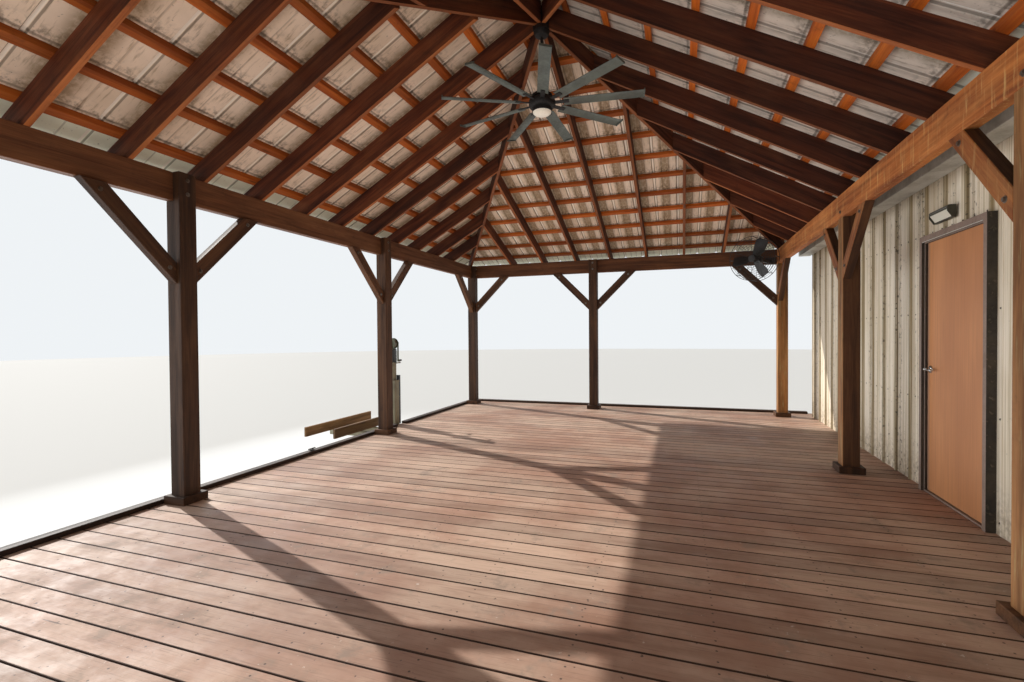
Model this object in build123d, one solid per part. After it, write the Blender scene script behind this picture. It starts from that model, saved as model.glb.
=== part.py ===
from build123d import *
import math
import os

os.makedirs("parts", exist_ok=True)

# Boathouse: an open timber pavilion under a metal hip roof and a metal-sided
# shed beside it, both on one plank deck carried by piles, with a small lift
# at the deck's edge.
#
# Plan: X runs across the pavilion, from the open side to the shed, and Y
# along it. Lengths are worked out from the point under the roof's peak, and
# the finished pieces are moved so that the origin lies in the middle of the
# footprint. Z = 0 is the water level, where the piles end. Millimetres.

# Driving sizes: lumber
PLY = 38.0
PURLIN_W = 64.0
BOARD_6 = 140.0
BOARD_8 = 184.0
BOARD_10 = 235.0
POST = 150.0
BRACE_T = 76.0
BRACE_D = 120.0

# Driving sizes: platform
DECK_TOP = 900.0
DECK_T = 38.0
PILE_D = 200.0
SIDE_MARGIN = 130.0
END_MARGIN = 365.0
SHED_MARGIN = 60.0
JOIST_SPACING = 610.0
CURB_W = 89.0
CURB_H = 38.0
CLEAT_Y = 195.0
CLEAT_L = 120.0
CLEAT_H = 22.0
CLEAT_BASE_L = 64.0
CLEAT_BASE_T = 6.0
CLEAT_BAR_D = 13.0
COLLAR_T = 38.0
COLLAR_H = 68.0

# Driving sizes: pavilion, measured from the peak
BEAM_HALF_X = 2730.0
BEAM_HALF_Y = 4620.0
INNER_POST_Y = 1490.0
RIGHT_NEAR_POST_Y = -1595.0
RIGHT_FAR_POST_Y = 1180.0
END_POST_X = -305.0
BEAM_BOTTOM = 2515.0
BRACE_LEG = 690.0
RIGHT_BRACE_LEG = 615.0
RIGHT_POST_CUT = 115.0
SIDE_PITCH = 0.56
SIDE_RAFTER_SPACING = 630.0
END_RAFTER_SPACING = 640.0
JACK_MARGIN = 250.0
SIDE_TAIL = 154.0
SHEET_OVERHANG = 84.0
SHEET_T = 20.0
SIDE_FIRST_PURLIN = 2803.0
SIDE_PURLIN_SPACING = 366.0
END_FIRST_PURLIN = 4770.0
END_PURLIN_SPACING = 411.0
CAP_T = 12.0
CAP_WING = 130.0
PEAK_CAP = 240.0
HUB_RADIUS = 74.0
HUB_DROP = 45.0
HUB_RISE = 150.0

# Driving sizes: shed
WALL_GAP = 370.0
SHED_W = 4200.0
WALL_T = 100.0
SHED_EAVE = 2790.0
SHED_PITCH = 0.25
SHED_SHEET_T = 30.0
GABLE_OVERHANG = 90.0
RIDGE_WING = 180.0
GUTTER_W = 170.0
GUTTER_H = 118.0
GUTTER_BOTTOM = 2640.0
GUTTER_T = 6.0
GUTTER_OVERRUN = 110.0
GUTTER_LAP = 30.0
SHED_EAVE_OUT = 57.0

# Driving sizes: door
LEAF_W = 915.0
LEAF_H = 2134.0
LEAF_T = 45.0
DOOR_Y = 230.0
DOOR_GAP = 5.0
FRAME_FACE = 45.0
FRAME_PROUD = 40.0
FRAME_RECESS = 40.0
STOP_W = 16.0
STOP_T = 14.0
SILL_H = 14.0
HINGE_OUT = 8.0
HINGE_H = 100.0
HINGE_LOW = 200.0
HANDLE_BACKSET = 70.0
HANDLE_Z = 1062.0
HANDLE_REACH = 58.0
HANDLE_L = 105.0
HANDLE_D = 19.0
ROSE_D = 64.0
ROSE_T = 9.0

# Driving sizes: wall lamp over the door
LAMP_L = 305.0
LAMP_H = 100.0
LAMP_D = 58.0
LAMP_SLANT = 52.0
LAMP_Y = 370.0
LAMP_OVER_DOOR = 120.0

# Driving sizes: ceiling fan
CANOPY_D = 150.0
CANOPY_H = 60.0
ROD_D = 27.0
FAN_DROP = 674.0
BLADE_COUNT = 9
BLADE_TIP = 940.0
BLADE_W = 105.0
BLADE_T = 8.0
BLADE_PITCH = -12.0
BLADE_TURN = -73.0
ROTOR_D = 250.0
ROTOR_H = 90.0
SPINDLE_D = 60.0
RUNNING_GAP = 8.0
SEAT_GAP = 0.3
FAN_CAP_D = 200.0
FAN_CAP_H = 45.0
FAN_LAMP_D = 190.0
FAN_LAMP_H = 60.0

# Driving sizes: drum fan in the corner
DRUM_FROM_RIGHT = 410.0
DRUM_FROM_FAR = 540.0
DRUM_RISE = 30.0
DRUM_D = 700.0
DRUM_DEPTH = 190.0
DRUM_TURN = 240.0
DRUM_BAR = 9.0
DRUM_SPOKES = 8
DRUM_HUB_D = 110.0
DRUM_ROTOR_CLEAR = 14.0
DRUM_BLADES = 3
DRUM_BLADE_W = 150.0
DRUM_BLADE_PITCH = 25.0
DRUM_BLADE_TURN = 30.0
DRUM_SHAFT_D = 24.0
DRUM_MOTOR_D = 140.0
DRUM_MOTOR_L = 130.0
DRUM_ARM = 40.0
DRUM_ARM_REACH = 500.0
DRUM_PLATE = 160.0
DRUM_PLATE_T = 8.0

# Driving sizes: lift at the deck's edge
LIFT_Y = 2120.0
COLUMN_X = 160.0
COLUMN_Y = 120.0
COLUMN_TOP = 690.0
MAST = 90.0
MAST_TOP = 950.0
FLANGE = 190.0
FLANGE_T = 12.0
WINCH_BODY = 110.0
WINCH_BODY_H = 240.0
WINCH_DRUM_D = 170.0
WINCH_DRUM_L = 100.0
CARRIAGE_GAP = 0.5
CARRIAGE_T = 14.0
CARRIAGE_W = 460.0
CARRIAGE_LOW = -420.0
ARM_W = 50.0
ARM_H = 80.0
ARM_SPREAD = 340.0
ARM_OUT = 1114.0
BUNK_L = 1600.0
BUNK_TOP = 45.0
BUNK_OUTER_OUT = 1054.0
BUNK_INNER_OUT = 544.0
WEAR_GAP = 1.0

# Worked out: lumber and beams
BEAM_T = 2 * PLY
BEAM_D = BOARD_10
BEAM_TOP = BEAM_BOTTOM + BEAM_D
BEAM_OUT_X = BEAM_HALF_X + BEAM_T
BEAM_OUT_Y = BEAM_HALF_Y + BEAM_T
LEFT_POST_X = -(BEAM_OUT_X - POST / 2)
RIGHT_POST_X = BEAM_HALF_X + POST / 2
END_POST_Y = BEAM_OUT_Y - POST / 2

# Worked out: platform
WALL_FACE = RIGHT_POST_X + POST / 2 + WALL_GAP
DECK_LEFT = -(BEAM_OUT_X + SIDE_MARGIN)
SHED_RIGHT = WALL_FACE + SHED_W
DECK_RIGHT = SHED_RIGHT + SHED_MARGIN
DECK_END = BEAM_OUT_Y + END_MARGIN
JOIST_TOP = DECK_TOP - DECK_T
JOIST_BOTTOM = JOIST_TOP - BOARD_8
GIRDER_BOTTOM = JOIST_BOTTOM - BOARD_10
ROWS_Y = (-END_POST_Y, -INNER_POST_Y, INNER_POST_Y, END_POST_Y)
RIGHT_ROWS_Y = (-END_POST_Y, RIGHT_NEAR_POST_Y, RIGHT_FAR_POST_Y, END_POST_Y)
SHED_MID_X = (WALL_FACE + SHED_RIGHT) / 2
PILE_X = (LEFT_POST_X, 0.0, RIGHT_POST_X, SHED_MID_X, SHED_RIGHT - POST)

# Worked out: places on the lift and of the drum fan
ARM_TIP = DECK_LEFT - ARM_OUT
BUNK_OUTER = DECK_LEFT - BUNK_OUTER_OUT
BUNK_INNER = DECK_LEFT - BUNK_INNER_OUT
DRUM_X = BEAM_HALF_X - DRUM_FROM_RIGHT
DRUM_Y = BEAM_HALF_Y - DRUM_FROM_FAR
DRUM_Z = DECK_TOP + BEAM_BOTTOM + DRUM_RISE

# Worked out: where the finished pieces move to
X_MIDDLE = (ARM_TIP + SHED_RIGHT + GUTTER_W) / 2
TO_ORIGIN = Location((-X_MIDDLE, 0, 0))


# The pitch of a rafter of the given depth whose underside starts at the
# beam's inner edge and whose top edge ends at the peak.
def pitch_to_peak(rise, run, depth):
    square = run * run - depth * depth
    root = math.sqrt((rise * run) ** 2 - square * (rise * rise - depth * depth))
    return (rise * run - root) / square


def plumb(depth, pitch):
    return depth * math.hypot(1.0, pitch)


# Worked out: roof planes. Each slope is a plane through the peak.
PEAK_RISE = BEAM_HALF_X * SIDE_PITCH + plumb(BOARD_8, SIDE_PITCH)
PEAK = DECK_TOP + BEAM_TOP + PEAK_RISE
END_PITCH = pitch_to_peak(PEAK_RISE, BEAM_HALF_Y, BOARD_8)
HIP_LENGTH = math.hypot(SIDE_PITCH, END_PITCH)
HIP_X = END_PITCH / HIP_LENGTH
HIP_Y = SIDE_PITCH / HIP_LENGTH
HIP_PITCH = SIDE_PITCH * HIP_X
SHEET_LOW = PLY
SHEET_HIGH = PLY + SHEET_T
FAR_AWAY = 9000.0

# Worked out: the eaves, level all round. Rafters end against the fascia,
# and the sheets reach over it.
TAIL_X = BEAM_OUT_X + SIDE_TAIL
TAIL_Y = (TAIL_X + PLY) * SIDE_PITCH / END_PITCH - PLY
EAVE_X = TAIL_X + SHEET_OVERHANG
EAVE_Y = EAVE_X * SIDE_PITCH / END_PITCH
EAVE_RIGHT = WALL_FACE - GUTTER_W + GUTTER_LAP

# Side and end slope: pitch, run to the ends of the rafters, share of the
# hip's direction across and along the slope
SIDE_SLOPE = (SIDE_PITCH, TAIL_X, HIP_X, HIP_Y)
END_SLOPE = (END_PITCH, TAIL_Y, HIP_Y, HIP_X)
SIDE_TURNS = (0, 180)
END_TURNS = (90, 270)


def box(x0, x1, y0, y1, z0, z1):
    size = Box(x1 - x0, y1 - y0, z1 - z0)
    return Pos((x0 + x1) / 2, (y0 + y1) / 2, (z0 + z1) / 2) * size


def standing_prism(points, z0, z1):
    face = make_face(Polyline(*points, close=True))
    return Pos(0, 0, z0) * extrude(face, z1 - z0, dir=(0, 0, 1))


# A prism whose outline is given across X and up Z and which runs along Y
def prism_along_y(outline, y0, y1):
    points = [(x, y0, z) for x, z in outline]
    face = make_face(Polyline(*points, close=True))
    return extrude(face, y1 - y0, dir=(0, 1, 0))


def prism_along_x(outline, x0, x1):
    points = [(x0, y, z) for y, z in outline]
    face = make_face(Polyline(*points, close=True))
    return extrude(face, x1 - x0, dir=(1, 0, 0))


def cylinder_z(x, y, z0, z1, diameter):
    return Pos(x, y, (z0 + z1) / 2) * Cylinder(diameter / 2, z1 - z0)


def solids_of(shapes):
    found = []
    for shape in shapes:
        found.extend(shape.solids())
    return found


def save(name, shapes, move=TO_ORIGIN):
    pieces = [move * solid for solid in solids_of(shapes)]
    shape = pieces[0] if len(pieces) == 1 else Compound(children=pieces)
    shape.label = name
    export_step(shape, f"parts/{name}.step")


# A piece of a slope: from run u0 to run u1, from across v0 to across v1,
# between two heights that are measured square to the slope's top plane
def slope_piece(slope, u0, u1, v0, v1, low, high):
    pitch = slope[0]
    z_low = PEAK + plumb(low, pitch)
    z_high = PEAK + plumb(high, pitch)
    outline = [
        (u0, z_low - u0 * pitch),
        (u1, z_low - u1 * pitch),
        (u1, z_high - u1 * pitch),
        (u0, z_high - u0 * pitch),
    ]
    return prism_along_y(outline, v0, v1)


# The plan of one slope between its two hips, kept back from each hip line
def slope_region(slope, keep_back):
    across = slope[2]
    along = slope[3]
    tip = keep_back / along
    wide = (FAR_AWAY * along - keep_back) / across
    points = [(tip, 0, 0), (FAR_AWAY, -wide, 0), (FAR_AWAY, wide, 0)]
    return standing_prism(points, 0, PEAK + FAR_AWAY)


def turn_all(shapes, turn):
    return [Rot(0, 0, turn) * shape for shape in shapes]


# Piles, girders, joists, rim and boards of the platform
def piles():
    made = []
    for x in PILE_X:
        for y in ROWS_Y:
            made.append(cylinder_z(x, y, 0, GIRDER_BOTTOM, PILE_D))
    return made


def girders():
    made = []
    for y in ROWS_Y:
        low = y - BEAM_T / 2
        high = y + BEAM_T / 2
        made.append(box(DECK_LEFT + PLY, DECK_RIGHT - PLY, low, high, GIRDER_BOTTOM, JOIST_BOTTOM))
    return made


def floor_joists():
    first = DECK_LEFT + 2 * PLY
    last = DECK_RIGHT - 2 * PLY
    count = math.ceil((last - first) / JOIST_SPACING)
    step = (last - first) / count
    made = []
    for index in range(count + 1):
        x = first + index * step
        made.append(box(x - PLY / 2, x + PLY / 2, PLY - DECK_END, DECK_END - PLY, JOIST_BOTTOM, JOIST_TOP))
    return made


def rim_boards():
    z0 = JOIST_BOTTOM
    z1 = JOIST_TOP
    inner = DECK_END - PLY
    return [
        box(DECK_LEFT, DECK_RIGHT, inner, DECK_END, z0, z1),
        box(DECK_LEFT, DECK_RIGHT, -DECK_END, -inner, z0, z1),
        box(DECK_LEFT, DECK_LEFT + PLY, -inner + WEAR_GAP, inner - WEAR_GAP, z0, z1),
        box(DECK_RIGHT - PLY, DECK_RIGHT, -inner + WEAR_GAP, inner - WEAR_GAP, z0, z1),
    ]


def deck_boards():
    return [box(DECK_LEFT, DECK_RIGHT, -DECK_END, DECK_END, JOIST_TOP, DECK_TOP)]


# The curb is left open where the lift's column stands
def deck_curb():
    z0 = DECK_TOP
    z1 = DECK_TOP + CURB_H
    inner = DECK_END - CURB_W
    left = DECK_LEFT + CURB_W
    low = LIFT_Y - COLUMN_Y
    high = LIFT_Y + COLUMN_Y
    return [
        box(DECK_LEFT, left, -inner + WEAR_GAP, low, z0, z1),
        box(DECK_LEFT, left, high, inner - WEAR_GAP, z0, z1),
        box(DECK_LEFT, WALL_FACE, inner, DECK_END, z0, z1),
        box(DECK_LEFT, WALL_FACE, -DECK_END, -inner, z0, z1),
    ]


# A cleat for a rope on the left curb: a base, two stems and a bar
def mooring_cleat():
    x = DECK_LEFT + CURB_W / 2
    z0 = DECK_TOP + CURB_H
    half = CLEAT_BASE_L / 2
    wide = CLEAT_BAR_D
    cleat = box(x - wide, x + wide, CLEAT_Y - half, CLEAT_Y + half, z0, z0 + CLEAT_BASE_T)
    for side in (-1, 1):
        cleat += cylinder_z(x, CLEAT_Y + side * half / 2, z0, z0 + CLEAT_H, CLEAT_BAR_D)
    bar = Pos(x, CLEAT_Y, z0 + CLEAT_H) * Rot(90, 0, 0) * Cylinder(CLEAT_BAR_D / 2, CLEAT_L)
    return [cleat + bar]


# Posts: the left and end posts are notched on their outer side for the
# beams, and the right posts on their inner side, flush with the beam
def post_places():
    places = []
    for y in ROWS_Y:
        places.append((LEFT_POST_X, y))
    for y in RIGHT_ROWS_Y:
        places.append((RIGHT_POST_X, y))
    places.append((END_POST_X, END_POST_Y))
    places.append((END_POST_X, -END_POST_Y))
    return places


def beam_left():
    return [box(-BEAM_OUT_X, -BEAM_HALF_X, -BEAM_OUT_Y, BEAM_OUT_Y, DECK_TOP + BEAM_BOTTOM, DECK_TOP + BEAM_TOP)]


def beam_right():
    return [box(BEAM_HALF_X, BEAM_OUT_X, -BEAM_OUT_Y, BEAM_OUT_Y, DECK_TOP + BEAM_BOTTOM, DECK_TOP + BEAM_TOP)]


def beam_far():
    return [box(-BEAM_HALF_X, BEAM_HALF_X, BEAM_HALF_Y, BEAM_OUT_Y, DECK_TOP + BEAM_BOTTOM, DECK_TOP + BEAM_TOP)]


def beam_near():
    return [box(-BEAM_HALF_X, BEAM_HALF_X, -BEAM_OUT_Y, -BEAM_HALF_Y, DECK_TOP + BEAM_BOTTOM, DECK_TOP + BEAM_TOP)]


def beams():
    return solids_of(beam_left() + beam_right() + beam_far() + beam_near())


def posts():
    made = []
    for x, y in post_places():
        half = POST / 2
        top = BEAM_TOP - RIGHT_POST_CUT if x == RIGHT_POST_X else BEAM_TOP
        post = box(x - half, x + half, y - half, y + half, DECK_TOP, DECK_TOP + top)
        for beam in beams():
            post = post - beam
        made.append(post)
    return made


def post_collars():
    made = []
    for x, y in post_places():
        half = POST / 2
        out = half + COLLAR_T
        z1 = DECK_TOP + COLLAR_H
        collar = box(x - out, x + out, y - out, y + out, DECK_TOP, z1)
        made.append(collar - box(x - half, x + half, y - half, y + half, DECK_TOP, z1))
    return made


# A knee brace in the plane of its beam, drawn with the post's face at run 0:
# it rises from the post to the beam's underside
def brace_outline(leg):
    start = POST / 2
    top = DECK_TOP + BEAM_BOTTOM
    cut = BRACE_D * math.sqrt(2.0)
    return [
        (start, top - leg),
        (start + leg, top),
        (start + leg - cut, top),
        (start, top - leg + cut),
    ]


def mirrored(outline):
    return [(-x, z) for x, z in outline]


def shifted(outline, move):
    return [(x + move, z) for x, z in outline]


def braces_along_y(x0, x1, rows, leg):
    made = []
    outline = brace_outline(leg)
    for y in rows:
        if y != rows[-1]:
            made.append(prism_along_x(shifted(outline, y), x0, x1))
        if y != rows[0]:
            made.append(prism_along_x(shifted(mirrored(outline), y), x0, x1))
    return made


def braces_along_x(y0, y1):
    made = []
    outline = brace_outline(BRACE_LEG)
    for x in (LEFT_POST_X, END_POST_X):
        made.append(prism_along_y(shifted(outline, x), y0, y1))
    made.append(prism_along_y(shifted(mirrored(outline), END_POST_X), y0, y1))
    made.append(prism_along_y(shifted(mirrored(outline), RIGHT_POST_X), y0, y1))
    return made


def knee_braces():
    left = braces_along_y(-BEAM_HALF_X - BRACE_T / 2, -BEAM_HALF_X + BRACE_T / 2, ROWS_Y, BRACE_LEG)
    right = braces_along_y(BEAM_OUT_X - BRACE_T, BEAM_OUT_X, RIGHT_ROWS_Y, RIGHT_BRACE_LEG)
    far = braces_along_x(BEAM_HALF_Y - BRACE_T / 2, BEAM_HALF_Y + BRACE_T / 2)
    near = braces_along_x(-BEAM_HALF_Y - BRACE_T / 2, -BEAM_HALF_Y + BRACE_T / 2)
    return left + right + far + near


# Rafters of one slope, cut back from the hips and notched over the beam
def rafters_of(slope, spacing, half_width):
    region = slope_region(slope, PLY / 2)
    count = math.floor((half_width - JACK_MARGIN) / spacing)
    made = []
    for index in range(-count, count + 1):
        v = index * spacing
        board = slope_piece(slope, HUB_RADIUS, slope[1], v - PLY / 2, v + PLY / 2, -BOARD_8, 0)
        made.append(board & region)
    return made


def rafters():
    side = rafters_of(SIDE_SLOPE, SIDE_RAFTER_SPACING, BEAM_HALF_Y)
    end = rafters_of(END_SLOPE, END_RAFTER_SPACING, BEAM_HALF_X)
    made = []
    for turn in SIDE_TURNS:
        made += turn_all(side, turn)
    for turn in END_TURNS:
        made += turn_all(end, turn)
    return [rafter - beams() for rafter in made]


# Where a hip crosses the corner of the rafter tails, counted along the hip
def hip_tail():
    return min(TAIL_X / HIP_X, TAIL_Y / HIP_Y)


def hip_angle():
    return math.degrees(math.atan2(HIP_Y, HIP_X))


def hip_turns():
    angle = hip_angle()
    return (angle, 180 - angle, 180 + angle, -angle)


def hip_rafters():
    drop = PLY / 2 * max(SIDE_PITCH * HIP_Y, END_PITCH * HIP_X)
    hip = (HIP_PITCH,)
    made = []
    for turn in hip_turns():
        board = slope_piece(hip, HUB_RADIUS, hip_tail() - PLY, -PLY / 2, PLY / 2, -BOARD_8 - drop, -drop)
        made.append(Rot(0, 0, turn) * board - beams())
    return made


# The hub has one flat for each rafter that ends on it
def roof_hub():
    z0 = PEAK - plumb(BOARD_8, SIDE_PITCH) - HUB_DROP
    z1 = PEAK - plumb(BOARD_8, SIDE_PITCH) + HUB_RISE
    angles = sorted([0.0, 90.0, 180.0, 270.0] + [turn % 360 for turn in hip_turns()])
    corners = []
    for index, angle in enumerate(angles):
        following = angles[(index + 1) % len(angles)]
        gap = math.radians((following - angle) % 360) / 2
        middle = math.radians(angle) + gap
        reach = HUB_RADIUS / math.cos(gap)
        corners.append((reach * math.cos(middle), reach * math.sin(middle), 0))
    return [standing_prism(corners, z0, z1)]


def purlins_of(slope, first, spacing, half_width):
    region = slope_region(slope, WEAR_GAP)
    half = PURLIN_W / plumb(1.0, slope[0]) / 2
    made = []
    run = first
    while run > HUB_RADIUS + PURLIN_W:
        board = slope_piece(slope, run - half, run + half, -half_width, half_width, 0, PLY)
        made.append(board & region)
        run -= spacing
    return made


def purlins():
    side = purlins_of(SIDE_SLOPE, SIDE_FIRST_PURLIN, SIDE_PURLIN_SPACING, TAIL_Y)
    end = purlins_of(END_SLOPE, END_FIRST_PURLIN, END_PURLIN_SPACING, TAIL_X)
    made = []
    for turn in SIDE_TURNS:
        made += turn_all(side, turn)
    for turn in END_TURNS:
        made += turn_all(end, turn)
    return made


# One metal slope. The right one reaches over the shed's gutter.
def roof_sheet(slope, turn, reach, half_width):
    region = slope_region(slope, WEAR_GAP)
    sheet = slope_piece(slope, 0, reach, -half_width, half_width, SHEET_LOW, SHEET_HIGH)
    return turn_all([sheet & region], turn)


# One wing of a hip's cap, which lies on the slope beside the hip
def hip_wing(slope):
    across = slope[2]
    along = slope[3]
    plan = []
    start = PEAK_CAP + WEAR_GAP
    for run, out in ((start, 0), (FAR_AWAY, 0), (FAR_AWAY, CAP_WING), (start, CAP_WING)):
        plan.append((run * across + out * along, run * along - out * across, 0))
    slab = slope_piece(slope, 0, FAR_AWAY, -FAR_AWAY, FAR_AWAY, SHEET_HIGH, SHEET_HIGH + CAP_T)
    return slab & standing_prism(plan, 0, PEAK + FAR_AWAY)


# Caps over the hips, each a pair of wings, cut off at the eaves
def hip_caps():
    side = hip_wing(SIDE_SLOPE)
    end = mirror(Rot(0, 0, 90) * hip_wing(END_SLOPE), about=Plane.YZ)
    cap = (side + end) & box(0, EAVE_X, 0, EAVE_Y, 0, PEAK + FAR_AWAY)
    left = mirror(cap, about=Plane.YZ)
    return [cap, left, mirror(cap, about=Plane.XZ), mirror(left, about=Plane.XZ)]


# A hipped block over the peak, up to a height above the rafters' planes
def peak_block(lift):
    x = PEAK_CAP * HIP_X
    y = PEAK_CAP * HIP_Y
    base = PEAK - x * SIDE_PITCH
    top = PEAK + lift
    across = [(-x, base), (-x, base + lift), (0, top), (x, base + lift), (x, base)]
    along = [(-y, base), (-y, base + lift), (0, top), (y, base + lift), (y, base)]
    return prism_along_y(across, -y, y) & prism_along_x(along, -x, x)


def peak_cap():
    lift = plumb(SHEET_HIGH, SIDE_PITCH)
    return [peak_block(lift + CAP_T) - peak_block(lift)]


def fascia_boards():
    x = TAIL_X
    y = TAIL_Y
    top = PEAK - (x + PLY) * SIDE_PITCH
    made = []
    for sign in (-1, 1):
        low, high = sorted((sign * x, sign * (x + PLY)))
        made.append(box(low, high, -y - PLY, y + PLY, top - BOARD_6, top))
        low, high = sorted((sign * y, sign * (y + PLY)))
        made.append(box(WEAR_GAP - x, x - WEAR_GAP, low, high, top - BOARD_6, top))
    return made


# Shed: the wall beside the pavilion is split beside and over its door
OPEN_LOW = DOOR_Y - LEAF_W / 2 - DOOR_GAP
OPEN_HIGH = DOOR_Y + LEAF_W / 2 + DOOR_GAP
HEAD = DECK_TOP + SILL_H + DOOR_GAP + LEAF_H + DOOR_GAP
WALL_INNER = WALL_FACE + WALL_T
WALL_TOP = DECK_TOP + SHED_EAVE


def shed_roof_z(x):
    run = min(x - WALL_FACE, SHED_RIGHT - x)
    return WALL_TOP + run * SHED_PITCH


def side_wall_outline(face, inward):
    inner = face + inward * WALL_T
    return [
        (face, DECK_TOP),
        (inner, DECK_TOP),
        (inner, shed_roof_z(inner)),
        (face, WALL_TOP),
    ]


def shed_wall_near_door():
    outline = side_wall_outline(WALL_FACE, 1)
    return [prism_along_y(outline, -BEAM_OUT_Y, OPEN_LOW - FRAME_FACE)]


def shed_wall_past_door():
    outline = side_wall_outline(WALL_FACE, 1)
    return [prism_along_y(outline, OPEN_HIGH + FRAME_FACE, BEAM_OUT_Y)]


def shed_wall_over_door():
    outline = side_wall_outline(WALL_FACE, 1)
    raised = [(x, max(z, HEAD + FRAME_FACE)) for x, z in outline]
    return [prism_along_y(raised, OPEN_LOW - FRAME_FACE, OPEN_HIGH + FRAME_FACE)]


def shed_wall_outer():
    outline = side_wall_outline(SHED_RIGHT, -1)
    return [prism_along_y(outline, -BEAM_OUT_Y, BEAM_OUT_Y)]


def shed_gable(end):
    low, high = sorted((end * (BEAM_OUT_Y - WALL_T), end * BEAM_OUT_Y))
    outer = SHED_RIGHT - WALL_T
    outline = [
        (WALL_INNER, DECK_TOP),
        (outer, DECK_TOP),
        (outer, shed_roof_z(outer)),
        (SHED_MID_X, shed_roof_z(SHED_MID_X)),
        (WALL_INNER, shed_roof_z(WALL_INNER)),
    ]
    return [prism_along_y(outline, low, high)]


def shed_roof(side):
    eave = WALL_FACE if side < 0 else SHED_RIGHT
    edge = eave + side * SHED_EAVE_OUT
    drop = SHED_EAVE_OUT * SHED_PITCH
    lift = plumb(SHED_SHEET_T, SHED_PITCH)
    ridge = shed_roof_z(SHED_MID_X)
    middle = SHED_MID_X + side * WEAR_GAP / 2
    middle_drop = WEAR_GAP / 2 * SHED_PITCH
    outline = [
        (edge, WALL_TOP - drop),
        (middle, ridge - middle_drop),
        (middle, ridge - middle_drop + lift),
        (edge, WALL_TOP - drop + lift),
    ]
    reach = BEAM_OUT_Y + GABLE_OVERHANG
    return [prism_along_y(outline, -reach, reach)]


def shed_ridge_cap():
    ridge = shed_roof_z(SHED_MID_X) + plumb(SHED_SHEET_T, SHED_PITCH)
    drop = RIDGE_WING * SHED_PITCH
    outline = [
        (SHED_MID_X - RIDGE_WING, ridge - drop),
        (SHED_MID_X, ridge),
        (SHED_MID_X + RIDGE_WING, ridge - drop),
        (SHED_MID_X + RIDGE_WING, ridge - drop + CAP_T),
        (SHED_MID_X, ridge + CAP_T),
        (SHED_MID_X - RIDGE_WING, ridge - drop + CAP_T),
    ]
    reach = BEAM_OUT_Y + GABLE_OVERHANG
    return [prism_along_y(outline, -reach, reach)]


# Box gutters along both eaves, open at the top
def gutter(face, side):
    reach = BEAM_OUT_Y + GUTTER_OVERRUN
    z0 = DECK_TOP + GUTTER_BOTTOM
    z1 = z0 + GUTTER_H
    x0, x1 = sorted((face, face + side * GUTTER_W))
    trough = box(x0 + GUTTER_T, x1 - GUTTER_T, GUTTER_T - reach, reach - GUTTER_T, z0 + GUTTER_T, z1)
    return box(x0, x1, -reach, reach, z0, z1) - trough


def gutters():
    return [gutter(WALL_FACE, -1), gutter(SHED_RIGHT, 1)]


# Door frame with its stops and sill. The leaf opens into the shed.
FRAME_FRONT = WALL_FACE - FRAME_PROUD
LEAF_FRONT = FRAME_FRONT + FRAME_RECESS
LEAF_BACK = LEAF_FRONT + LEAF_T
HINGE_X = LEAF_BACK + HINGE_OUT
HINGE_Y = OPEN_LOW + DOOR_GAP / 2
STOP_BACK = LEAF_FRONT - DOOR_GAP


def door_frame():
    low = OPEN_LOW - FRAME_FACE
    high = OPEN_HIGH + FRAME_FACE
    outer = box(FRAME_FRONT, WALL_INNER, low, high, DECK_TOP, HEAD + FRAME_FACE)
    way = box(FRAME_FRONT, WALL_INNER, OPEN_LOW, OPEN_HIGH, DECK_TOP, HEAD)
    stop = box(STOP_BACK - STOP_T, STOP_BACK, OPEN_LOW, OPEN_HIGH, DECK_TOP, HEAD)
    clear = box(STOP_BACK - STOP_T, STOP_BACK, OPEN_LOW + STOP_W, OPEN_HIGH - STOP_W, DECK_TOP, HEAD - STOP_W)
    sill = box(STOP_BACK - STOP_T, WALL_INNER, OPEN_LOW, OPEN_HIGH, DECK_TOP, DECK_TOP + SILL_H)
    frame = (outer - way) + (stop - clear) + sill
    for middle in (HINGE_LOW, LEAF_H / 2, LEAF_H - HINGE_LOW):
        z = DECK_TOP + SILL_H + DOOR_GAP + middle
        barrel = cylinder_z(HINGE_X, HINGE_Y, z - HINGE_H / 2, z + HINGE_H / 2, 2 * (HINGE_OUT - SEAT_GAP))
        frame += barrel
    return [frame]


def door_leaf():
    z0 = DECK_TOP + SILL_H + DOOR_GAP
    low = OPEN_LOW + DOOR_GAP
    return [box(LEAF_FRONT, LEAF_BACK, low, low + LEAF_W, z0, z0 + LEAF_H)]


# A lever handle on its round rose. The lever points at the hinges.
def handle_at(face, side):
    y = OPEN_HIGH - DOOR_GAP - HANDLE_BACKSET
    z = DECK_TOP + HANDLE_Z
    half = HANDLE_D / 2
    rose = Pos(0, 0, ROSE_T / 2) * Cylinder(ROSE_D / 2, ROSE_T)
    neck = Pos(0, 0, HANDLE_REACH / 2) * Cylinder(half, HANDLE_REACH)
    lever = Pos(0, -HANDLE_L / 2, HANDLE_REACH - half) * Rot(90, 0, 0) * Cylinder(half, HANDLE_L)
    return Pos(face, y, z) * Rot(0, 90 * side, 0) * (rose + neck + lever)


def door_handles():
    return [handle_at(LEAF_FRONT, -1), handle_at(LEAF_BACK, 1)]


def wall_lamp():
    half = LAMP_L / 2
    z0 = HEAD + FRAME_FACE + LAMP_OVER_DOOR - LAMP_H / 2
    outline = [
        (WALL_FACE, z0),
        (WALL_FACE, z0 + LAMP_H),
        (WALL_FACE - LAMP_D, z0 + LAMP_H),
        (WALL_FACE - LAMP_D, z0 + LAMP_SLANT),
    ]
    return [prism_along_y(outline, LAMP_Y - half, LAMP_Y + half)]


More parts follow.
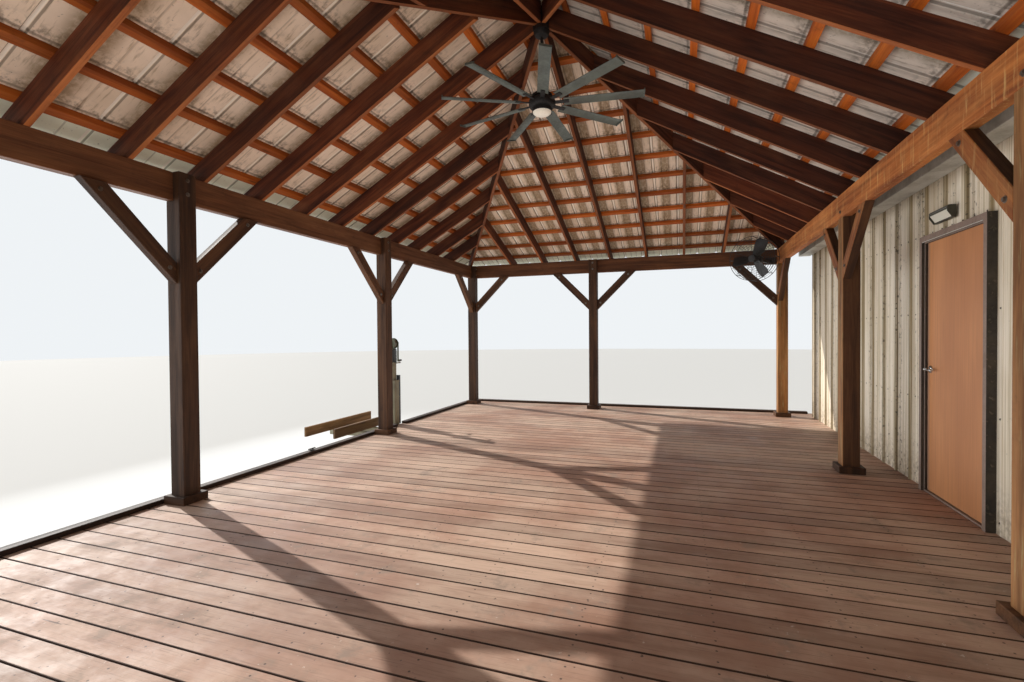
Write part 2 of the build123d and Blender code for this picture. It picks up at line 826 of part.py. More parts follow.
# Ceiling fan: canopy, rod, cap and spindle stay, the rotor turns round the
# spindle, and the lamp hangs under it
HUB_BOTTOM = PEAK - plumb(BOARD_8, SIDE_PITCH) - HUB_DROP
BLADE_Z = HUB_BOTTOM - FAN_DROP
ROTOR_Z0 = BLADE_Z - ROTOR_H / 2
ROTOR_Z1 = ROTOR_Z0 + ROTOR_H
FAN_CAP_Z0 = ROTOR_Z1 + RUNNING_GAP
FAN_LAMP_Z1 = ROTOR_Z0 - RUNNING_GAP


def ceiling_fan_mount():
    canopy = cylinder_z(0, 0, HUB_BOTTOM - CANOPY_H, HUB_BOTTOM, CANOPY_D)
    rod = cylinder_z(0, 0, FAN_CAP_Z0, HUB_BOTTOM - CANOPY_H / 2, ROD_D)
    cap = cylinder_z(0, 0, FAN_CAP_Z0, FAN_CAP_Z0 + FAN_CAP_H, FAN_CAP_D)
    spindle = cylinder_z(0, 0, FAN_LAMP_Z1, FAN_CAP_Z0 + FAN_CAP_H / 2, SPINDLE_D)
    return [canopy + rod + cap + spindle]


def ceiling_fan_lamp():
    return [cylinder_z(0, 0, FAN_LAMP_Z1 - FAN_LAMP_H, FAN_LAMP_Z1, FAN_LAMP_D)]


def ceiling_fan_rotor():
    body = cylinder_z(0, 0, ROTOR_Z0, ROTOR_Z1, ROTOR_D)
    start = SPINDLE_D
    length = BLADE_TIP - start
    blade = Pos(start + length / 2, 0, 0) * Rot(BLADE_PITCH, 0, 0) * Box(length, BLADE_W, BLADE_T)
    for index in range(BLADE_COUNT):
        turn = BLADE_TURN + index * 360 / BLADE_COUNT
        body = body + Pos(0, 0, BLADE_Z) * Rot(0, 0, turn) * blade
    bore = cylinder_z(0, 0, ROTOR_Z0, ROTOR_Z1, SPINDLE_D + 2 * SEAT_GAP)
    return [body - bore]


# Drum fan: made round its own axis, with the front towards +Z, then hung
# on an arm from the far beam
DRUM_R = DRUM_D / 2
DRUM_HUB_L = DRUM_DEPTH - 4 * DRUM_BAR - 2 * RUNNING_GAP
TO_DRUM = Pos(DRUM_X, DRUM_Y, DRUM_Z) * Rot(0, 0, DRUM_TURN) * Rot(0, 90, 0)


def ring(z0, z1, outer, inner):
    return cylinder_z(0, 0, z0, z1, outer) - cylinder_z(0, 0, z0, z1, inner)


def drum_spokes(z):
    reach = DRUM_R - DRUM_BAR / 2
    bar = Pos(reach / 2, 0, z) * Box(reach, DRUM_BAR, DRUM_BAR)
    return [Rot(0, 0, index * 360 / DRUM_SPOKES) * bar for index in range(DRUM_SPOKES)]


def drum_fan_cage():
    front = DRUM_DEPTH / 2
    cage = ring(front - 2 * DRUM_BAR, front, DRUM_D, DRUM_D - 2 * DRUM_BAR)
    cage += ring(-front, 2 * DRUM_BAR - front, DRUM_D, DRUM_D - 2 * DRUM_BAR)
    for z in (front - DRUM_BAR / 2, DRUM_BAR / 2 - front):
        cage += drum_spokes(z)
        cage += cylinder_z(0, 0, z - DRUM_BAR / 2, z + DRUM_BAR / 2, DRUM_HUB_D)
    for index in range(DRUM_SPOKES):
        bar = Pos(DRUM_R - DRUM_BAR / 2, 0, 0) * Box(DRUM_BAR, DRUM_BAR, DRUM_DEPTH)
        cage += Rot(0, 0, index * 360 / DRUM_SPOKES) * bar
    motor = cylinder_z(0, 0, -front - DRUM_MOTOR_L, -front, DRUM_MOTOR_D)
    shaft = cylinder_z(0, 0, -front, DRUM_HUB_L / 2, DRUM_SHAFT_D)
    return [TO_DRUM * (cage + motor + shaft)]


def drum_fan_rotor():
    rotor = cylinder_z(0, 0, -DRUM_HUB_L / 2, DRUM_HUB_L / 2, DRUM_HUB_D)
    reach = DRUM_R - DRUM_BAR - DRUM_ROTOR_CLEAR
    blade = Pos(reach / 2, 0, 0) * Rot(DRUM_BLADE_PITCH, 0, 0) * Box(reach, DRUM_BLADE_W, DRUM_BAR)
    for index in range(DRUM_BLADES):
        rotor = rotor + Rot(0, 0, DRUM_BLADE_TURN + index * 360 / DRUM_BLADES) * blade
    bore = cylinder_z(0, 0, -DRUM_HUB_L / 2, DRUM_HUB_L / 2, DRUM_SHAFT_D + 2 * SEAT_GAP)
    return [TO_DRUM * (rotor - bore)]


# The arm runs level from the motor's end to a plate on the far beam
def drum_fan_arm():
    motor_end = -DRUM_DEPTH / 2 - DRUM_MOTOR_L
    arm = Pos(0, 0, motor_end - DRUM_ARM_REACH / 2) * Box(DRUM_ARM, DRUM_ARM, DRUM_ARM_REACH)
    past = box(-FAR_AWAY, FAR_AWAY, BEAM_HALF_Y, FAR_AWAY, 0, PEAK)
    back = BEAM_HALF_Y - DRUM_Y
    x = DRUM_X + back / math.tan(math.radians(DRUM_TURN))
    half = DRUM_PLATE / 2
    low = DRUM_Z - DRUM_ARM / 2
    plate = box(x - half, x + half, BEAM_HALF_Y - DRUM_PLATE_T, BEAM_HALF_Y, low, DRUM_Z + half)
    return [(TO_DRUM * arm - past) + plate]


# Lift: a column beside the deck's edge, a winch on it and a carriage with
# two bunks that slides on the column's outer face
COLUMN_IN = DECK_LEFT
COLUMN_OUT = COLUMN_IN - COLUMN_X
MAST_X = (COLUMN_IN + COLUMN_OUT) / 2


def lift_column():
    half = COLUMN_Y / 2
    column = box(COLUMN_OUT, COLUMN_IN, LIFT_Y - half, LIFT_Y + half, 0, DECK_TOP + COLUMN_TOP)
    mast = box(
        MAST_X - MAST / 2,
        MAST_X + MAST / 2,
        LIFT_Y - MAST / 2,
        LIFT_Y + MAST / 2,
        DECK_TOP + COLUMN_TOP,
        DECK_TOP + MAST_TOP,
    )
    z = DECK_TOP + MAST_TOP
    wide = FLANGE / 2
    flange = box(MAST_X - wide, MAST_X + wide, LIFT_Y - wide, LIFT_Y + wide, z, z + FLANGE_T)
    return [column + mast + flange]


def lift_winch():
    z0 = DECK_TOP + MAST_TOP + FLANGE_T
    half = WINCH_BODY / 2
    body = box(MAST_X - half, MAST_X + half, LIFT_Y - half, LIFT_Y + half, z0, z0 + WINCH_BODY_H)
    drum = Pos(MAST_X, LIFT_Y, z0 + WINCH_BODY_H + WINCH_DRUM_D / 3)
    drum = drum * Rot(90, 0, 0) * Cylinder(WINCH_DRUM_D / 2, WINCH_DRUM_L)
    return [body + drum]


def lift_carriage():
    back = COLUMN_OUT - CARRIAGE_GAP
    front = back - CARRIAGE_T
    half = CARRIAGE_W / 2
    arm_top = DECK_TOP + BUNK_TOP - BOARD_6
    carriage = box(front, back, LIFT_Y - half, LIFT_Y + half, DECK_TOP + CARRIAGE_LOW, arm_top)
    for side in (-1, 1):
        y = LIFT_Y + side * ARM_SPREAD / 2
        carriage += box(ARM_TIP, front, y - ARM_W / 2, y + ARM_W / 2, arm_top - ARM_H, arm_top)
    return [carriage]


def lift_bunks():
    z1 = DECK_TOP + BUNK_TOP
    z0 = z1 - BOARD_6
    made = []
    for x in (BUNK_OUTER, BUNK_INNER):
        made.append(box(x - PLY / 2, x + PLY / 2, LIFT_Y - BUNK_L / 2, LIFT_Y + BUNK_L / 2, z0, z1))
    return made


save("piles", piles())
save("girders", girders())
save("floor_joists", floor_joists())
save("rim_boards", rim_boards())
save("deck_boards", deck_boards())
save("deck_curb", deck_curb())
save("mooring_cleat", mooring_cleat())

save("posts", posts())
save("post_collars", post_collars())
save("side_beams", beam_left() + beam_right())
save("end_beams", beam_far() + beam_near())
save("knee_braces", knee_braces())

save("rafters", rafters())
save("hip_rafters", hip_rafters())
save("roof_hub", roof_hub())
save("purlins", purlins())
save("fascia_boards", fascia_boards())
save("roof_sheet_right", roof_sheet(SIDE_SLOPE, 0, EAVE_RIGHT, EAVE_Y))
save("roof_sheet_far", roof_sheet(END_SLOPE, 90, EAVE_Y, EAVE_X))
save("roof_sheet_left", roof_sheet(SIDE_SLOPE, 180, EAVE_X, EAVE_Y))
save("roof_sheet_near", roof_sheet(END_SLOPE, 270, EAVE_Y, EAVE_X))
save("roof_caps", hip_caps() + peak_cap())

save("shed_wall_near_door", shed_wall_near_door())
save("shed_wall_past_door", shed_wall_past_door())
save("shed_wall_over_door", shed_wall_over_door())
save("shed_wall_outer", shed_wall_outer())
save("shed_gable_far", shed_gable(1))
save("shed_gable_near", shed_gable(-1))
save("shed_roof", shed_roof(-1) + shed_roof(1))
save("shed_ridge_cap", shed_ridge_cap())
save("gutters", gutters())
save("door_frame", door_frame())
save("door_leaf", door_leaf())
save("door_handles", door_handles())
save("wall_lamp", wall_lamp())

save("ceiling_fan_mount", ceiling_fan_mount())
save("ceiling_fan_lamp", ceiling_fan_lamp())
save("ceiling_fan_rotor", ceiling_fan_rotor())
save("drum_fan_cage", drum_fan_cage())
save("drum_fan_rotor", drum_fan_rotor())
save("drum_fan_arm", drum_fan_arm())

save("lift_column", lift_column())
save("lift_winch", lift_winch())
save("lift_carriage", lift_carriage())
save("lift_bunks", lift_bunks())
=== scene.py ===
import math
import random
import bmesh
import bpy
from mathutils import Matrix, Vector


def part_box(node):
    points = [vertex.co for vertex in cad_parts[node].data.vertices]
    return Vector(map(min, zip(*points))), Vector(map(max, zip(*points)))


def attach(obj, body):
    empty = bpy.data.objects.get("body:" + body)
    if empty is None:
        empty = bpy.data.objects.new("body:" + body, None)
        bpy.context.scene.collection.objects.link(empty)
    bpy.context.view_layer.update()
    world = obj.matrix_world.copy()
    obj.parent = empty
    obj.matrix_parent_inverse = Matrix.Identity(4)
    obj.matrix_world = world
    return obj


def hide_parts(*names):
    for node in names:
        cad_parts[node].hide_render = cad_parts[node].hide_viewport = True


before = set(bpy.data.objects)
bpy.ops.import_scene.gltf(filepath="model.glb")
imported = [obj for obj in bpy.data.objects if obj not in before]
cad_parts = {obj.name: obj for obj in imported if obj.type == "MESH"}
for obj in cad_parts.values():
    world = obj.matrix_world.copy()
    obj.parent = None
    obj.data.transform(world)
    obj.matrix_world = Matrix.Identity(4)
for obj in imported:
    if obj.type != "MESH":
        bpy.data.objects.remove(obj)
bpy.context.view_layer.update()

# Sizes in metres. Places come from the boxes of the frame's nodes.
PLANK_PITCH = 0.1532
PLANK_GAP = 0.006
PLANK_JOINT_Y = -1.568
PLANK_T = 0.036
RIB_PITCH = 0.3185
RIB_H = 0.019
SHEET_T = 0.0012
SLOPE_T = 0.02
JOIST_W = 0.038
WALL_TOP = 3.69
SHED_PITCH = 0.25
SIDING_RIB_Y = 2.303
GABLE_RIB_X = 0.1
GABLE_RISE = 1.2
SHED_ROOF_RIB_Y = 0.12
SCREW_OFF_RIB = 0.086
BOLT_INSET = 0.075
LAKE_ROW_X = -4.3
SHED_ROW_X = 0.9

deck_low, deck_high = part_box("deck_boards")
wall_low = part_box("shed_wall_near_door")[0]
past_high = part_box("shed_wall_past_door")[1]
outer_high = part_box("shed_wall_outer")[1]
frame_low, frame_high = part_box("door_frame")
leaf_low, leaf_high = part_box("door_leaf")
hub_low, hub_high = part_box("roof_hub")
DECK_TOP = deck_high.z
PEAK_X = (hub_low.x + hub_high.x) / 2


def copy_of(node):
    bm = bmesh.new()
    bm.from_mesh(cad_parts[node].data)
    bmesh.ops.remove_doubles(bm, verts=bm.verts, dist=0.00002)
    bmesh.ops.dissolve_limit(bm, angle_limit=0.01, verts=bm.verts, edges=bm.edges)
    return bm


def loose_groups(bm):
    seen = set()
    groups = []
    for start in bm.verts:
        if start in seen:
            continue
        seen.add(start)
        group = [start]
        for vert in group:
            for edge in vert.link_edges:
                other = edge.other_vert(vert)
                if other not in seen:
                    seen.add(other)
                    group.append(other)
        groups.append(group)
    return groups


def group_box(group):
    low = Vector(min(v.co[i] for v in group) for i in range(3))
    high = Vector(max(v.co[i] for v in group) for i in range(3))
    return low, high


# Where each joist stands, from the solids of its node
def joist_boxes():
    bm = copy_of("floor_joists")
    boxes = [group_box(group) for group in loose_groups(bm)]
    bm.free()
    return boxes


# Colours as they are read off a colour chart
def tint(red, green, blue):
    chart = []
    for value in (red, green, blue):
        part = value / 255
        if part <= 0.04045:
            chart.append(part / 12.92)
        else:
            chart.append(((part + 0.055) / 1.055) ** 2.4)
    return (*chart, 1.0)


FINISHES = {}


# A finish being mixed: every call adds one step and gives its output. A
# colour goes in as it is read off the chart.
class Finish:
    def __init__(self, name, roughness=0.6, metallic=0.0, specular=0.5):
        FINISHES[name] = bpy.data.materials.new(name)
        FINISHES[name].use_nodes = True
        self.tree = FINISHES[name].node_tree
        self.shader = self.tree.nodes["Principled BSDF"]
        self.set("Roughness", roughness)
        self.set("Metallic", metallic)
        self.set("Specular IOR Level", specular)

    def wire(self, value, socket):
        if isinstance(value, bpy.types.NodeSocket):
            self.tree.links.new(value, socket)
        elif socket.type == "RGBA":
            socket.default_value = tint(*value)
        else:
            socket.default_value = value

    def set(self, name, value):
        self.wire(value, self.shader.inputs[name])

    def node(self, kind, output, inputs, **settings):
        made = self.tree.nodes.new("ShaderNode" + kind)
        for name, value in settings.items():
            setattr(made, name, value)
        for name, value in inputs.items():
            self.wire(value, made.inputs[name])
        return made.outputs[output]

    def place(self, stretch=(1, 1, 1), on=None):
        if on:
            source = self.node("Attribute", "Vector", {}, attribute_name=on)
        else:
            source = self.node("TexCoord", "Object", {})
        return self.node("Mapping", "Vector", {"Vector": source, "Scale": stretch})

    def noise(self, stretch, detail, roughness, on=None, distortion=0.0):
        inputs = {"Vector": self.place(stretch, on), "Scale": 1.0, "Detail": detail}
        inputs.update({"Roughness": roughness, "Distortion": distortion})
        return self.node("TexNoise", "Fac", inputs)

    def cells(self, stretch, on):
        return self.node("TexVoronoi", "Distance", {"Vector": self.place(stretch, on), "Scale": 1.0})

    def step(self, value, low, high, bottom=0.0, top=1.0):
        inputs = {"Value": value, "From Min": low, "From Max": high, "To Min": bottom, "To Max": top}
        return self.node("MapRange", "Result", inputs, interpolation_type="SMOOTHSTEP")

    def math(self, operation, first, second=0.0):
        return self.node("Math", "Value", {0: first, 1: second}, operation=operation)

    def times(self, first, second):
        return self.math("MULTIPLY", first, second)

    def off(self, value, middle):
        return self.math("ABSOLUTE", self.math("SUBTRACT", value, middle))

    def blend(self, share, under, over, mode="MIX"):
        inputs = {"Factor": share, "A": under, "B": over}
        return self.node("Mix", "Result", inputs, data_type="RGBA", blend_type=mode)

    # A colour laid over a coat where a value runs from low to high
    def lay(self, coat, colour, value, low, high, share=1.0):
        return self.blend(self.step(value, low, high, 0.0, share), coat, colour)

    def axis(self, place, which):
        return self.node("SeparateXYZ", which, {"Vector": place})

    # How far a value is from the nearest point of a row with an even step
    def off_row(self, value, first, step):
        counted = self.math("DIVIDE", self.math("SUBTRACT", value, first - step / 2), step)
        return self.times(self.off(self.math("FRACT", counted), 0.5), step)

    def toned(self, colour, low, high):
        tone = self.node("Attribute", "Fac", {}, attribute_name="tone")
        scale = self.step(tone, 0.0, 1.0, low, high)
        return self.node("VectorMath", "Vector", {0: colour, "Scale": scale}, operation="SCALE")

    def relief(self, height, depth, strength):
        inputs = {"Strength": strength, "Distance": depth, "Height": height}
        self.set("Normal", self.node("Bump", "Normal", inputs))

    def colour(self, value):
        self.set("Base Color", value)

    def gloss(self, value):
        self.set("Roughness", value)


# Sawn timber: long fibres, broad bands of stain, knots and a tone of its own
# for each board
def timber(name, dark, mid, light, wear=0.3, streaks=None):
    made = Finish(name, 0.7, specular=0.35)
    fibre = made.noise((3.5, 130, 130), 5.0, 0.65, "board")
    band = made.noise((0.9, 16, 16), 4.0, 0.6, "board", 0.6)
    patch = made.noise((1.3, 4.5, 4.5), 5.0, 0.62, "board")
    figure = made.lay(dark, mid, band, 0.3, 0.7)
    worn = made.times(made.step(patch, 0.45, 0.78), wear)
    figure = made.blend(worn, figure, light)
    figure = made.blend(made.step(fibre, 0.35, 0.66, 0.0, 0.38), figure, light, "MULTIPLY")
    knot = made.cells((1.1, 6.0, 6.0), "board")
    figure = made.lay(figure, (38, 20, 12), knot, 0.1, 0.05, 0.5)
    dirt = made.noise((7, 7, 7), 6.0, 0.7, "board")
    figure = made.lay(figure, (30, 22, 18), dirt, 0.56, 0.74, 0.35)
    if streaks:
        run = made.noise((34, 34, 3.0), 5.0, 0.7)
        figure = made.lay(figure, streaks, run, 0.52, 0.72, 0.55)
    made.colour(made.toned(figure, 0.66, 1.26))
    made.gloss(made.step(band, 0.2, 0.8, 0.8, 0.6))
    made.relief(made.math("ADD", fibre, made.times(band, 0.6)), 0.0016, 0.55)


# Ribbed metal. The sheets' own attribute counts bays across and purlins along
# and gives the height up a rib, so that the ribs' sides are painted dark as their
# shade, a rib's crown is painted bright as a highlight, and dirt lies above the purlins.
def ribbed_metal(name, base, shade, stain, rust_and_rib_shade, painted_crown_highlight, eave):
    made = Finish(name, 0.55, specular=0.35)
    sheet = made.place((1, 1, 1), "sheet")
    across = made.math("FRACT", made.axis(sheet, "X"))
    along = made.math("FRACT", made.axis(sheet, "Y"))
    height = made.axis(sheet, "Z")
    drip = made.noise((26, 2.2, 1), 4.0, 0.6, "sheet")
    ragged = made.noise((11, 7, 1), 5.0, 0.65, "sheet")
    broad = made.noise((1.3, 1.3, 1.3), 4.0, 0.6)
    speck = made.noise((40, 40, 40), 3.0, 0.6)
    coat = made.lay(base, shade, broad, 0.32, 0.7)
    brown = made.step(made.off(across, 0.62), 0.3, 0.12)
    brown = made.times(brown, made.step(ragged, 0.26, 0.6, 0.45, 0.95))
    coat = made.blend(brown, coat, stain)
    coat = made.lay(coat, stain, drip, 0.52, 0.7, 0.55)
    smudge = made.times(made.step(along, 0.55, 0.92), made.step(ragged, 0.44, 0.66))
    coat = made.blend(made.times(smudge, 0.66), coat, rust_and_rib_shade)
    purlin = made.step(made.off(along, 0.9), 0.035, 0.01, 0.0, 0.55)
    coat = made.blend(purlin, coat, rust_and_rib_shade)
    # Past the last purlin the sheet takes the eave colour: on the undersides a pale painted light, where
    # daylight from outside reaches the eave
    painted_eave_light = made.step(made.axis(sheet, "Y"), 0.02, 0.1, 0.0, 0.88)
    coat = made.blend(painted_eave_light, coat, eave)
    coat = made.lay(coat, rust_and_rib_shade, speck, 0.66, 0.74, 0.45)
    # Painted shade: the ribs' sides darkened with the rust colour; then a painted highlight: the crowns
    # lightened
    side = made.step(made.off(height, 0.5), 0.4, 0.18)
    coat = made.blend(made.times(side, 0.6), coat, rust_and_rib_shade)
    coat = made.lay(coat, painted_crown_highlight, height, 0.9, 0.98, 0.8)
    made.colour(coat)
    made.gloss(made.step(broad, 0.2, 0.8, 0.45, 0.7))
    made.relief(speck, 0.0008, 0.3)


# Siding: pale paint, with dirt that runs down from the eave, and olive-brown beside
# the ribs that is partly dirt and partly painted shade of the ribs' sides
def siding_paint():
    made = Finish("siding", 0.5, specular=0.45)
    sheet = made.place((1, 1, 1), "sheet")
    across = made.math("FRACT", made.axis(sheet, "X"))
    rib = made.step(made.off(across, 0.075), 0.15, 0.05)
    run = made.noise((14, 0.35, 1), 5.0, 0.65, "sheet")
    fine = made.noise((60, 0.9, 1), 4.0, 0.6, "sheet")
    broad = made.noise((1.2, 1.2, 0.6), 4.0, 0.6)
    speck = made.noise((30, 30, 30), 3.0, 0.6)
    heavy = made.noise((1.7, 0.12, 1), 3.0, 0.6, "sheet")
    coat = made.lay((240, 230, 212), (220, 208, 186), broad, 0.32, 0.7)
    coat = made.lay(coat, (166, 144, 98), run, 0.44, 0.62, 0.6)
    # Beside the ribs: partly dirt, partly painted shade of the ribs' sides
    beside = made.times(rib, made.step(fine, 0.3, 0.62, 0.35, 0.95))
    coat = made.blend(beside, coat, (132, 112, 68))
    soaked = made.times(made.step(heavy, 0.52, 0.64), made.step(fine, 0.36, 0.6))
    coat = made.blend(made.times(soaked, 0.75), coat, (104, 88, 58))
    coat = made.lay(coat, (96, 84, 58), fine, 0.6, 0.78, 0.5)
    mould = made.times(made.step(heavy, 0.46, 0.6), made.step(speck, 0.56, 0.66))
    coat = made.blend(made.times(mould, 0.8), coat, (62, 52, 36))
    height = made.axis(made.place(), "Z")
    splash = made.times(made.step(height, 1.35, 0.92), made.step(speck, 0.35, 0.65))
    coat = made.blend(made.times(splash, 0.5), coat, (120, 100, 74))
    coat = made.lay(coat, (70, 60, 44), speck, 0.68, 0.75, 0.5)
    made.colour(coat)
    made.gloss(made.step(broad, 0.2, 0.8, 0.4, 0.62))
    made.relief(speck, 0.0008, 0.25)


# Painted or plated metal, with dust and scuffs
def plain_metal(name, base, shade, rough=0.45, metallic=0.0, grain=60.0, dust=0.3):
    made = Finish(name, rough, metallic)
    fine = made.noise((grain, grain, grain), 4.0, 0.6)
    broad = made.noise((5.0, 5.0, 5.0), 4.0, 0.6)
    coat = made.lay(base, shade, broad, 0.3, 0.75)
    coat = made.lay(coat, (120, 108, 92), fine, 0.58, 0.76, dust)
    made.colour(coat)
    made.gloss(made.step(fine, 0.3, 0.7, max(rough - 0.12, 0.05), rough + 0.12))
    made.relief(fine, 0.0005, 0.3)


# Name, dark, middle and light stain, then how worn it is and its streaks
for stains in (
    ("post_stain", (58, 36, 20), (96, 62, 34), (136, 92, 52)),
    # Partly painted sunlight, partly real weathering and moss streaks: the lighter stain for the shed side
    # posts' faces turned to the light
    ("sunned_stain", (108, 72, 38), (162, 112, 62), (204, 158, 104), 0.45, (170, 164, 116)),
    # The side beams' stains are copies of the beam stain lightened as painted light: the left one for the
    # bounce light on its inner face, the right one for the light from the left, with pale bloom streaks of
    # its own
    ("left_beam_stain", (98, 60, 34), (140, 90, 54), (178, 126, 84), 0.45),
    ("beam_stain", (74, 44, 24), (112, 68, 36), (150, 100, 60), 0.4),
    ("right_beam_stain", (118, 64, 28), (174, 106, 48), (208, 150, 88), 0.5, (206, 176, 116)),
    ("brace_stain", (62, 38, 22), (100, 64, 36), (142, 98, 58)),
    # The rafters' undersides take a lighter copy of their stain, painted light from the deck below
    ("rafter_stain", (58, 26, 14), (106, 52, 24), (148, 92, 54), 0.35),
    ("rafter_edge", (122, 66, 28), (160, 92, 42), (196, 130, 76), 0.35),
    ("purlin_wood", (148, 72, 20), (196, 104, 28), (224, 144, 66), 0.35),
    ("fascia_stain", (74, 44, 26), (110, 70, 42), (148, 104, 66)),
    ("curb_stain", (44, 28, 18), (70, 46, 30), (116, 88, 64), 0.35),
    ("framing_timber", (72, 56, 42), (104, 84, 64), (140, 122, 98)),
    ("weathered_pile", (58, 50, 40), (92, 82, 66), (128, 116, 96)),
    ("bunk_wood", (98, 70, 40), (140, 104, 64), (178, 146, 102), 0.4),
    ("hub_stain", (24, 14, 10), (42, 24, 16), (80, 50, 32), 0.2),
    # Plank sides and rounded edges: a darker stain as painted shade in the gaps between the planks
    ("plank_edge_gap_shade", (62, 42, 30), (92, 64, 48), (124, 92, 72), 0.3),
    ("wall_board", (150, 126, 96), (172, 148, 114), (192, 170, 136)),
):
    timber(*stains)


# The row of joists that the planks are screwed to
JOISTS = sorted({round(box[0].x, 4) for box in joist_boxes()})
JOIST_FIRST = JOISTS[1] + JOIST_W / 2
JOIST_STEP = JOISTS[2] - JOISTS[1]


# The deck's worn stain: pale where feet and weather wore it, red-brown where
# it holds, dark in the grain and at its screws, with small dents and drips
def deck_finish():
    made = Finish("deck_stain", 0.7, specular=0.4)
    fibre = made.noise((5, 150, 150), 5.0, 0.65, "board")
    band = made.noise((1.0, 9, 9), 4.0, 0.6, "board", 0.4)
    split = made.noise((3.0, 46, 46), 3.0, 0.5, "board")
    worn = made.noise((0.9, 0.9, 0.9), 6.0, 0.62)
    drip = made.noise((4.2, 4.2, 4.2), 6.0, 0.72)
    fleck = made.noise((30, 30, 30), 4.0, 0.6)
    coat = made.lay((168, 130, 110), (200, 172, 152), worn, 0.36, 0.64)
    coat = made.lay(coat, (142, 108, 88), band, 0.46, 0.72, 0.6)
    coat = made.lay(coat, (146, 132, 120), drip, 0.54, 0.7, 0.6)
    coat = made.lay(coat, (208, 184, 162), drip, 0.34, 0.24, 0.6)
    coat = made.lay(coat, (104, 76, 60), fibre, 0.5, 0.72, 0.4)
    coat = made.lay(coat, (58, 40, 30), split, 0.7, 0.76, 0.75)
    coat = made.lay(coat, (56, 42, 34), fleck, 0.66, 0.72, 0.8)
    chip = made.times(made.step(fleck, 0.35, 0.3), made.step(drip, 0.5, 0.58))
    coat = made.blend(made.times(chip, 0.7), coat, (218, 206, 194))
    place = made.place()
    off_joist = made.off_row(made.axis(place, "X"), JOIST_FIRST, JOIST_STEP)
    off_screw = made.off_row(made.axis(place, "Y"), PLANK_JOINT_Y + PLANK_PITCH / 4, PLANK_PITCH / 2)
    reach = made.math("POWER", off_joist, 2.0)
    reach = made.math("SQRT", made.math("ADD", reach, made.math("POWER", off_screw, 2.0)))
    coat = made.lay(coat, (52, 42, 36), reach, 0.0065, 0.004, 0.8)
    made.colour(made.toned(coat, 0.82, 1.14))
    made.gloss(made.step(drip, 0.3, 0.7, 0.55, 0.76))
    made.relief(made.math("SUBTRACT", fibre, made.step(fleck, 0.62, 0.72)), 0.0012, 0.5)


deck_finish()
# The undersides are one metal, tinted apart as painted light: warm cream where the deck's bounce light
# falls, and a greyer white copy for the right slope, lit from the open left side
ribbed_metal(
    "roof_metal",
    (246, 224, 202), (222, 200, 176), (152, 126, 94),
    (58, 42, 28), (252, 244, 230), (240, 244, 222),
)
ribbed_metal(
    "right_roof_metal_lit_copy",
    (240, 224, 208), (206, 198, 188), (140, 128, 110),
    (62, 52, 42), (248, 248, 244), (226, 230, 214),
)
ribbed_metal(
    "roof_outside",
    (196, 192, 180), (180, 176, 164), (172, 164, 146),
    (146, 138, 122), (208, 204, 196), (190, 186, 174),
)
siding_paint()

# Name, paint and its shade, roughness, metallic share, grain and dust
for paints in (
    ("cap_metal", (206, 194, 174), (178, 166, 146), 0.45),
    ("gutter_metal", (196, 194, 184), (150, 146, 134), 0.5),
    # Near-black: painted shade with some mildew, for the frame faces turned away from the light
    ("shade_and_mildew_paint", (40, 36, 30), (72, 62, 50), 0.7, 0.0, 26, 0.75),
    ("frame_paint", (140, 120, 108), (116, 98, 86), 0.55),
    ("handle_chrome", (200, 200, 198), (170, 170, 168), 0.22, 1.0, 90, 0.1),
    ("lamp_bronze", (52, 46, 38), (74, 74, 58), 0.5),
    ("fan_black", (13, 12, 12), (22, 19, 18), 0.68, 0.0, 60, 0.03),
    ("blade_metal", (88, 96, 88), (66, 70, 64), 0.4, 0.2, 40, 0.3),
    ("drum_black", (24, 23, 24), (44, 42, 42), 0.45),
    ("lift_steel", (150, 144, 118), (120, 112, 90), 0.55),
    ("winch_black", (30, 30, 32), (54, 54, 54), 0.4),
    ("cleat_iron", (36, 32, 30), (58, 52, 48), 0.5, 0.4),
    ("grey_steel", (156, 160, 164), (120, 122, 124), 0.5, 0.2),
    ("rail_steel", (52, 60, 70), (74, 78, 80), 0.5, 0.3),
    ("gear_olive", (92, 94, 70), (66, 68, 52), 0.5),
    ("cable_steel", (140, 138, 132), (96, 90, 82), 0.45, 0.8),
    ("gasket", (206, 202, 194), (176, 170, 160), 0.6),
    ("screw_steel", (120, 110, 100), (88, 70, 56), 0.5, 0.6),
    ("bolt_steel", (126, 120, 112), (92, 74, 58), 0.45, 0.7),
):
    plain_metal(*paints)


def door_finish():
    made = Finish("door_paint", 0.5)
    fibre = made.noise((60, 60, 1.2), 4.0, 0.6)
    broad = made.noise((3, 3, 0.8), 3.0, 0.55)
    coat = made.lay((198, 136, 88), (180, 120, 76), broad, 0.3, 0.7)
    coat = made.lay(coat, (156, 106, 68), fibre, 0.4, 0.72, 0.4)
    across = made.off(made.axis(made.place(), "Y"), (leaf_low.y + leaf_high.y) / 2)
    coat = made.lay(coat, (138, 116, 102), across, 0.39, 0.455, 0.8)
    made.colour(coat)
    made.relief(fibre, 0.0006, 0.3)


door_finish()


# Lenses with a faint painted glow, so that they read pale
def lens_finish(name, base, painted_glow):
    made = Finish(name, 0.3)
    fine = made.noise((70, 70, 70), 3.0, 0.5)
    made.colour(made.lay(base, (206, 196, 176), fine, 0.4, 0.7, 0.3))
    made.set("Emission Color", base)
    made.set("Emission Strength", painted_glow)


lens_finish("fan_lens", (236, 228, 212), 0.15)
lens_finish("lamp_lens", (204, 200, 184), 0.03)


def added(name, data):
    made = bpy.data.objects.new(name, data)
    bpy.context.scene.collection.objects.link(made)
    return made


